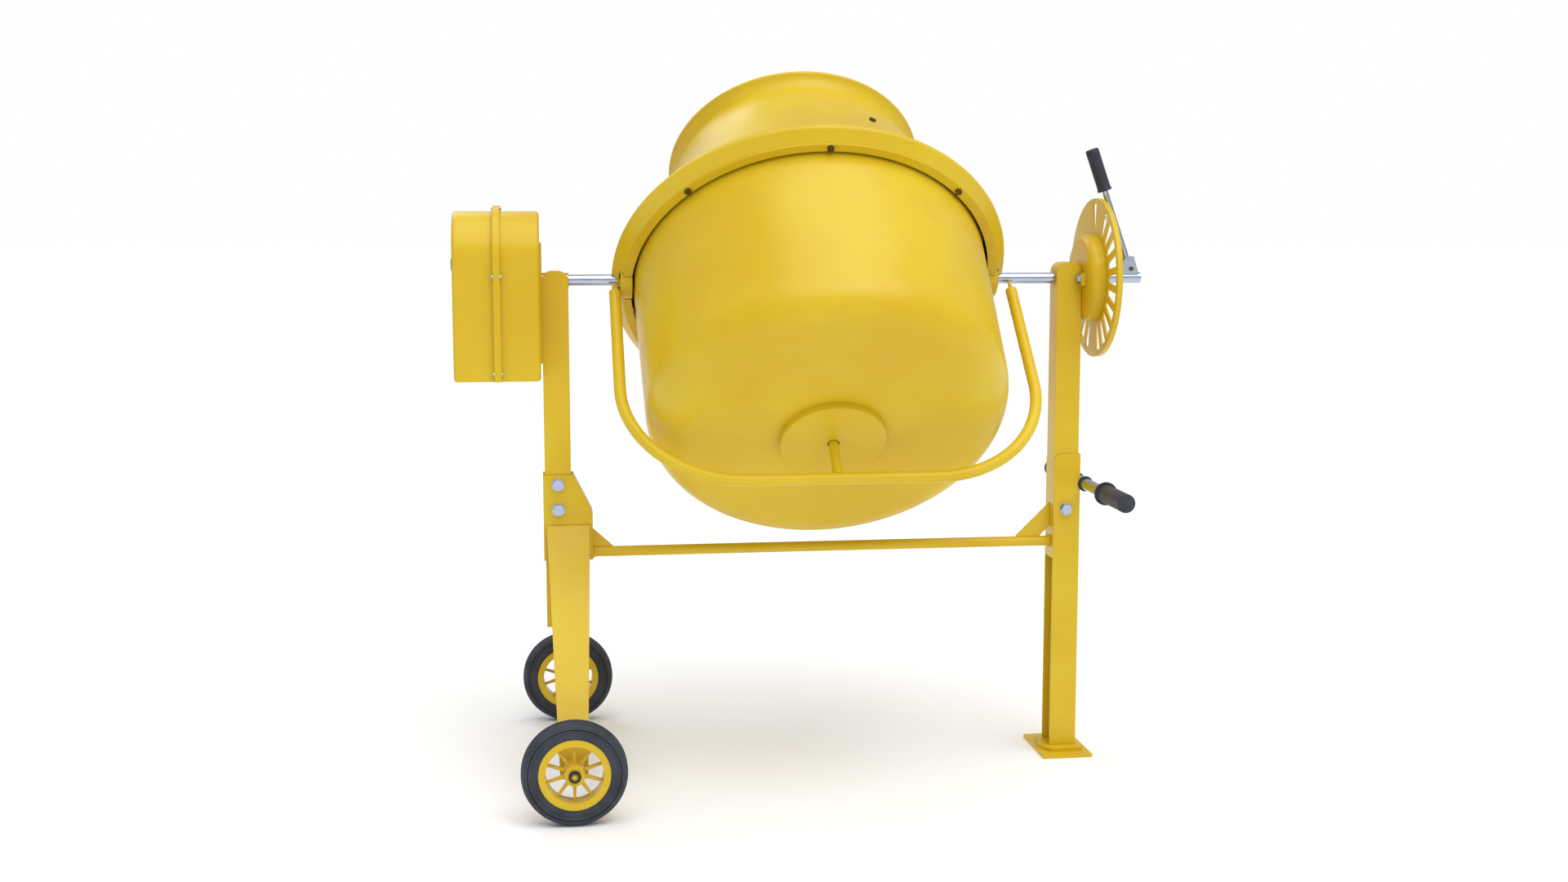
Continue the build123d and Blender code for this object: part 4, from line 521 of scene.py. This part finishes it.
class MIXER_OT_cone(bpy.types.Operator):
    """Upper cone of the drum with its rolled mouth"""

    bl_idname = "mixer.cone"
    bl_label = "Drum Cone"

    def execute(self, context):
        sizes = context.scene.mixer_drum
        low = sizes.flange_level + sizes.flange_thick
        top = low + sizes.flange_thick
        wall = sizes.wall
        rim = FLANGE_EDGE
        outer = [(sizes.radius - wall, low), (sizes.flange - rim, low), (sizes.flange, low + rim),
                 (sizes.flange, top - rim), (sizes.flange - rim, top), (sizes.radius + CONE_FOOT, top),
                 (sizes.radius + 0.001, top + 0.001), (sizes.radius - 0.001, top + CONE_FOOT)]
        steps = 16
        curve = []
        for index in range(steps + 1):
            share = index / steps
            bow = 4 * sizes.hollow * share * (1 - share)
            radius = sizes.shoulder + (sizes.neck - sizes.shoulder) * share - bow
            height = sizes.shoulder_level + (sizes.neck_level - sizes.shoulder_level) * share
            curve.append((radius, height))
        bead = arc((sizes.lip, sizes.lip_level), sizes.bead, -70.0, 215.0, 16)
        inner = [(radius - wall, height) for radius, height in curve[::-1]]
        flare = sizes.neck_level + NECK_RISE
        outline = outer + curve + [(sizes.neck + 0.003, flare)] + bead
        outline += [(sizes.neck + 0.001, flare)] + inner + [(sizes.radius - wall, top + 0.003)]
        piece = lathe("drum_cone", outline)
        place_piece(piece, drum_place())
        complete(piece, "drum", "yellow_paint", ["cone"])
        return {"FINISHED"}


# --- wheels ---
def tyre_outline(sizes, radius, half):
    """Solid tyre: bead seat, ringed sidewalls, rounded shoulders and a grooved tread."""
    seat = sizes.rim_radius
    side = []
    for share, drop in ((0.0, SEAT_STEP), (0.10, 0.0), (0.34, 0.0), (0.40, RING_STEP), (0.46, 0.0),
                        (0.62, 0.0)):
        side.append((seat + (radius - seat) * share, half - drop))
    crown = TREAD_CROWN
    tread_half = half - sizes.shoulder
    corner = arc((radius - sizes.shoulder - crown, tread_half), sizes.shoulder, 90.0, 12.0, 8)
    tread = [(radius - TREAD_EDGE, tread_half - 0.001)]
    for index in range(sizes.grooves):
        middle = tread_half * (1 - 2 * (index + 1) / (sizes.grooves + 1))
        floor = radius - sizes.groove_depth
        tread += [(radius, middle + GROOVE_MOUTH), (floor, middle + GROOVE_FLOOR),
                  (floor, middle - GROOVE_FLOOR), (radius, middle - GROOVE_MOUTH)]
    tread.append((radius - TREAD_EDGE, 0.001 - tread_half))
    other = [(r, -z) for r, z in reversed(side + corner)]
    return side + corner + tread + other


class MIXER_OT_tyres(bpy.types.Operator):
    """Solid rubber tyres of the two wheels"""

    bl_idname = "mixer.tyres"
    bl_label = "Tyres"

    def execute(self, context):
        sizes = context.scene.mixer_wheels
        for side, body in (("front", "front_wheel"), ("rear", "rear_wheel")):
            node = f"{side}_tyre"
            low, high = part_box(node)
            middle = (low + high) / 2
            half = (high.y - low.y) / 2
            piece = lathe(f"{node}_rubber", tyre_outline(sizes, (high.z - low.z) / 2, half))
            place_piece(piece, Matrix.Translation(middle) @ ALONG_Y)
            complete(piece, body, "tyre", [node])
        return {"FINISHED"}


# --- grips ---
def grip_outline(radius, length, rib_depth, rib_pitch):
    """Sleeve from Z = 0 to its closed, domed end, with a collar and ring grooves."""
    collar = radius + COLLAR_PROUD
    edge = COLLAR_LENGTH / 5
    outline = [(GRIP_BORE, 0.0), (collar - edge, 0.0), (collar, edge), (collar, COLLAR_LENGTH - edge),
               (collar - edge, COLLAR_LENGTH), (radius, COLLAR_LENGTH + 0.0005)]
    count = int((length - RIB_START - PLAIN_END) / rib_pitch)
    for index in range(count):
        height = RIB_START + index * rib_pitch
        outline += [(radius, height), (radius - rib_depth, height + RIB_SLOPE),
                    (radius - rib_depth, height + RIB_WIDTH - RIB_SLOPE), (radius, height + RIB_WIDTH)]
    dome = arc((radius - GRIP_DOME, length - GRIP_DOME), GRIP_DOME, 0.0, 90.0, 6)
    floor = length - END_WALL
    return outline + dome + [(GRIP_PINHOLE, length), (GRIP_PINHOLE, floor), (GRIP_BORE, floor)]


class MIXER_OT_grips(bpy.types.Operator):
    """Ribbed rubber grip of the tilt lever"""

    bl_idname = "mixer.grips"
    bl_label = "Grips"

    def execute(self, context):
        sizes = context.scene.mixer_grips
        rod = frame["nodes"]["lever_grip"]
        pivot = Vector(JOINTS["latch"]["pos_m"])
        points = [vertex.co for vertex in rod.data.vertices]
        centre = sum(points, Vector()) / len(points)
        axis = (Vector((centre.x, 0.0, centre.z)) - Vector((pivot.x, 0.0, pivot.z))).normalized()
        reach = [(point - pivot).dot(axis) for point in points]
        radial = [((point - pivot) - axis * (point - pivot).dot(axis)).length for point in points]
        start, end = min(reach), max(reach)
        radius = max(radial) - COLLAR_PROUD
        outline = grip_outline(radius, end - start, sizes.rib_depth, sizes.rib_pitch)
        piece = lathe("lever_grip_rubber", outline, SMALL_STEPS)
        turn = axis.to_track_quat("Z", "Y").to_matrix().to_4x4()
        place_piece(piece, Matrix.Translation(pivot + axis * start) @ turn)
        complete(piece, "lever", "grip_rubber", ["lever_grip"])
        return {"FINISHED"}


# --- axle caps ---
class MIXER_OT_caps(bpy.types.Operator):
    """Push-on axle caps, each with a painted star set in its face"""

    bl_idname = "mixer.caps"
    bl_label = "Axle Caps"

    def execute(self, context):
        sizes = context.scene.mixer_caps
        low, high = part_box("axle_caps")
        radius = (high.z - low.z) / 2
        depth = CAP_DEPTH
        x, z = (low.x + high.x) / 2, (low.z + high.z) / 2
        outline = [(AXLE_RADIUS, 0.0), (radius, 0.0)]
        outline += arc((radius - sizes.edge, depth - sizes.edge), sizes.edge, 0.0, 90.0, 5)
        outline += [(sizes.star_radius + 0.0006, depth), (sizes.star_radius + 0.0003, depth - STAR_RECESS),
                    (0.0, depth - STAR_RECESS), (0.0, CAP_SEAT), (AXLE_RADIUS, CAP_SEAT)]
        pieces = []
        for name, turn, y in (("front", ALONG_MINUS_Y, low.y + depth), ("rear", ALONG_Y, high.y - depth)):
            cap = lathe(f"axle_cap_{name}", outline, SMALL_STEPS)
            place_piece(cap, Matrix.Translation((x, y, z)) @ turn)
            pieces.append(cap)
            star = pressed_star(f"axle_cap_star_{name}", sizes)
            lift = Matrix.Translation((0.0, 0.0, depth - STAR_RECESS))
            place_piece(star, Matrix.Translation((x, y, z)) @ turn @ lift)
            complete(star, "frame", "yellow_paint")
        complete(joined("axle_caps_plastic", pieces), "frame", "black_plastic", ["axle_caps"])
        return {"FINISHED"}


def pressed_star(name, sizes):
    """Flat star about Z: every second vertex of a circle is drawn inwards, then the face is thickened."""
    clear_selection()
    bpy.ops.mesh.primitive_circle_add(vertices=2 * sizes.points, radius=sizes.star_radius, fill_type="NGON",
                                      location=(0, 0, 0))
    piece = bpy.context.object
    piece.name = name
    bpy.ops.object.mode_set(mode="EDIT")
    pick_vertices(piece, lambda place: round(math.atan2(place.y, place.x) / math.pi * sizes.points) % 2)
    share = sizes.star_waist / sizes.star_radius
    bpy.ops.transform.resize(value=(share, share, 1.0), center_override=(0, 0, 0))
    bpy.ops.mesh.select_all(action="SELECT")
    bpy.ops.mesh.extrude_region_move(TRANSFORM_OT_translate={"value": (0, 0, STAR_THICK)})
    bpy.ops.mesh.select_all(action="SELECT")
    bpy.ops.mesh.normals_make_consistent(inside=False)
    bpy.ops.object.mode_set(mode="OBJECT")
    return piece


# --- weld beads ---
def weld_ring(name, radius, sizes):
    """Rippled bead round a bar, about Z."""
    clear_selection()
    bpy.ops.mesh.primitive_torus_add(major_radius=radius, minor_radius=sizes.radius,
                                     major_segments=WELD_STEPS, minor_segments=10, location=(0, 0, 0))
    piece = bpy.context.object
    piece.name = name
    bpy.ops.object.mode_set(mode="EDIT")
    pick_vertices(piece, lambda place: round(math.atan2(place.y, place.x) / math.tau * WELD_STEPS) % 4 == 0)
    bpy.ops.transform.shrink_fatten(value=sizes.ripple)
    bpy.ops.object.mode_set(mode="OBJECT")
    return piece


class MIXER_OT_welds(bpy.types.Operator):
    """Weld beads where the crossbar meets the stand"""

    bl_idname = "mixer.welds"
    bl_label = "Weld Beads"

    def execute(self, context):
        sizes = context.scene.mixer_welds
        low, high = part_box("crossbar")
        middle = (low + high) / 2
        radius = (high.z - low.z) / 2
        pieces = []
        for name, x in (("motor_side", low.x + sizes.radius), ("lever_side", high.x - sizes.radius)):
            bead = weld_ring(f"weld_{name}", radius, sizes)
            place_piece(bead, Matrix.Translation((x, middle.y, middle.z)) @ ALONG_X)
            pieces.append(bead)
        complete(joined("crossbar_welds", pieces), "frame", "yellow_paint")
        return {"FINISHED"}


# --- finishes of the carried pieces ---
class MIXER_OT_finishes(bpy.types.Operator):
    """Finishes of the carried pieces"""

    bl_idname = "mixer.finishes"
    bl_label = "Finishes"

    def execute(self, context):
        for node, carried in frame["nodes"].items():
            carried.data.materials.clear()
            carried.data.materials.append(finish_of(SLOTS[node]))
        return {"FINISHED"}


# --- stage ---
class MIXER_OT_stage(bpy.types.Operator):
    """Pale floor, soft studio light and the camera"""

    bl_idname = "mixer.stage"
    bl_label = "Stage"

    def execute(self, context):
        colours = context.scene.mixer_colours
        clear_selection()
        bpy.ops.mesh.primitive_circle_add(vertices=96, radius=FLOOR_RADIUS, fill_type="NGON",
                                          location=(0, 0, 0))
        floor = context.object
        floor.name = "studio_floor"
        material, tree, shader, place = new_material("studio_floor")
        tone = mixed(tree, noise(tree, place, 0.7, 2.0), tuple(colours.floor),
                     tuple(channel * 0.985 for channel in colours.floor))
        tree.links.new(tone, shader.inputs["Base Color"])
        shader.inputs["Roughness"].default_value = 0.9
        shader.inputs["Specular IOR Level"].default_value = 0.1
        floor.data.materials.append(material)
        world = bpy.data.worlds.new("studio_air")
        context.scene.world = world
        world.use_nodes = True
        air = world.node_tree.nodes["Background"]
        air.inputs["Color"].default_value = (1.0, 1.0, 1.0, 1.0)
        path = world.node_tree.nodes.new("ShaderNodeLightPath")
        brightness = spread(world.node_tree, path.outputs["Is Camera Ray"], 0.0, 1.0, AIR_LIGHT, 1.0)
        world.node_tree.links.new(brightness, air.inputs["Strength"])
        target = (CAD_BOX[0] + CAD_BOX[1]) / 2
        for name, kind, offset, size, power in STUDIO_LIGHTS:
            clear_selection()
            bpy.ops.object.light_add(type=kind, location=target + Vector(offset))
            light = context.object
            light.name = name
            light.data.energy = power
            light.rotation_euler = (-Vector(offset)).to_track_quat("-Z", "Y").to_euler()
            if kind == "AREA":
                light.data.shape = "DISK"
                light.data.size = size
            else:
                light.data.angle = math.radians(size)
        clear_selection()
        bpy.ops.object.camera_add(location=CAMERA_PLACE)
        camera = context.object
        camera.name = "studio_camera"
        camera.rotation_euler = (math.radians(90.0 - CAMERA_DOWN), 0.0, math.radians(CAMERA_TURN))
        camera.data.lens = CAMERA_LENS
        camera.data.sensor_width = CAMERA_SENSOR
        context.scene.camera = camera
        context.scene.view_settings.view_transform = "Standard"
        return {"FINISHED"}


OPERATORS = [
    MIXER_OT_finishes,
    MIXER_OT_bowl,
    MIXER_OT_cone,
    MIXER_OT_tyres,
    MIXER_OT_grips,
    MIXER_OT_caps,
    MIXER_OT_welds,
    MIXER_OT_stage,
]


class MIXER_PT_panel(bpy.types.Panel):
    bl_label = "Concrete Mixer"
    bl_idname = "MIXER_PT_panel"
    bl_space_type = "VIEW_3D"
    bl_region_type = "UI"
    bl_category = "Mixer"

    def draw(self, context):
        for group, kind in PROPERTY_GROUPS.items():
            column = self.layout.column(align=True)
            for name in kind.__annotations__:
                column.prop(getattr(context.scene, group), name)
        for operator in OPERATORS:
            self.layout.operator(operator.bl_idname)


def register():
    for group, kind in PROPERTY_GROUPS.items():
        bpy.utils.register_class(kind)
        setattr(bpy.types.Scene, group, PointerProperty(type=kind))
    for operator in OPERATORS:
        bpy.utils.register_class(operator)
    bpy.utils.register_class(MIXER_PT_panel)


def unregister():
    bpy.utils.unregister_class(MIXER_PT_panel)
    for operator in reversed(OPERATORS):
        bpy.utils.unregister_class(operator)
    for group, kind in PROPERTY_GROUPS.items():
        delattr(bpy.types.Scene, group)
        bpy.utils.unregister_class(kind)


def main():
    register()
    bpy.ops.mixer.finishes()
    bpy.ops.mixer.bowl()
    bpy.ops.mixer.cone()
    bpy.ops.mixer.tyres()
    bpy.ops.mixer.grips()
    bpy.ops.mixer.caps()
    bpy.ops.mixer.welds()
    bpy.ops.mixer.stage()


if __name__ == "__main__":
    main()
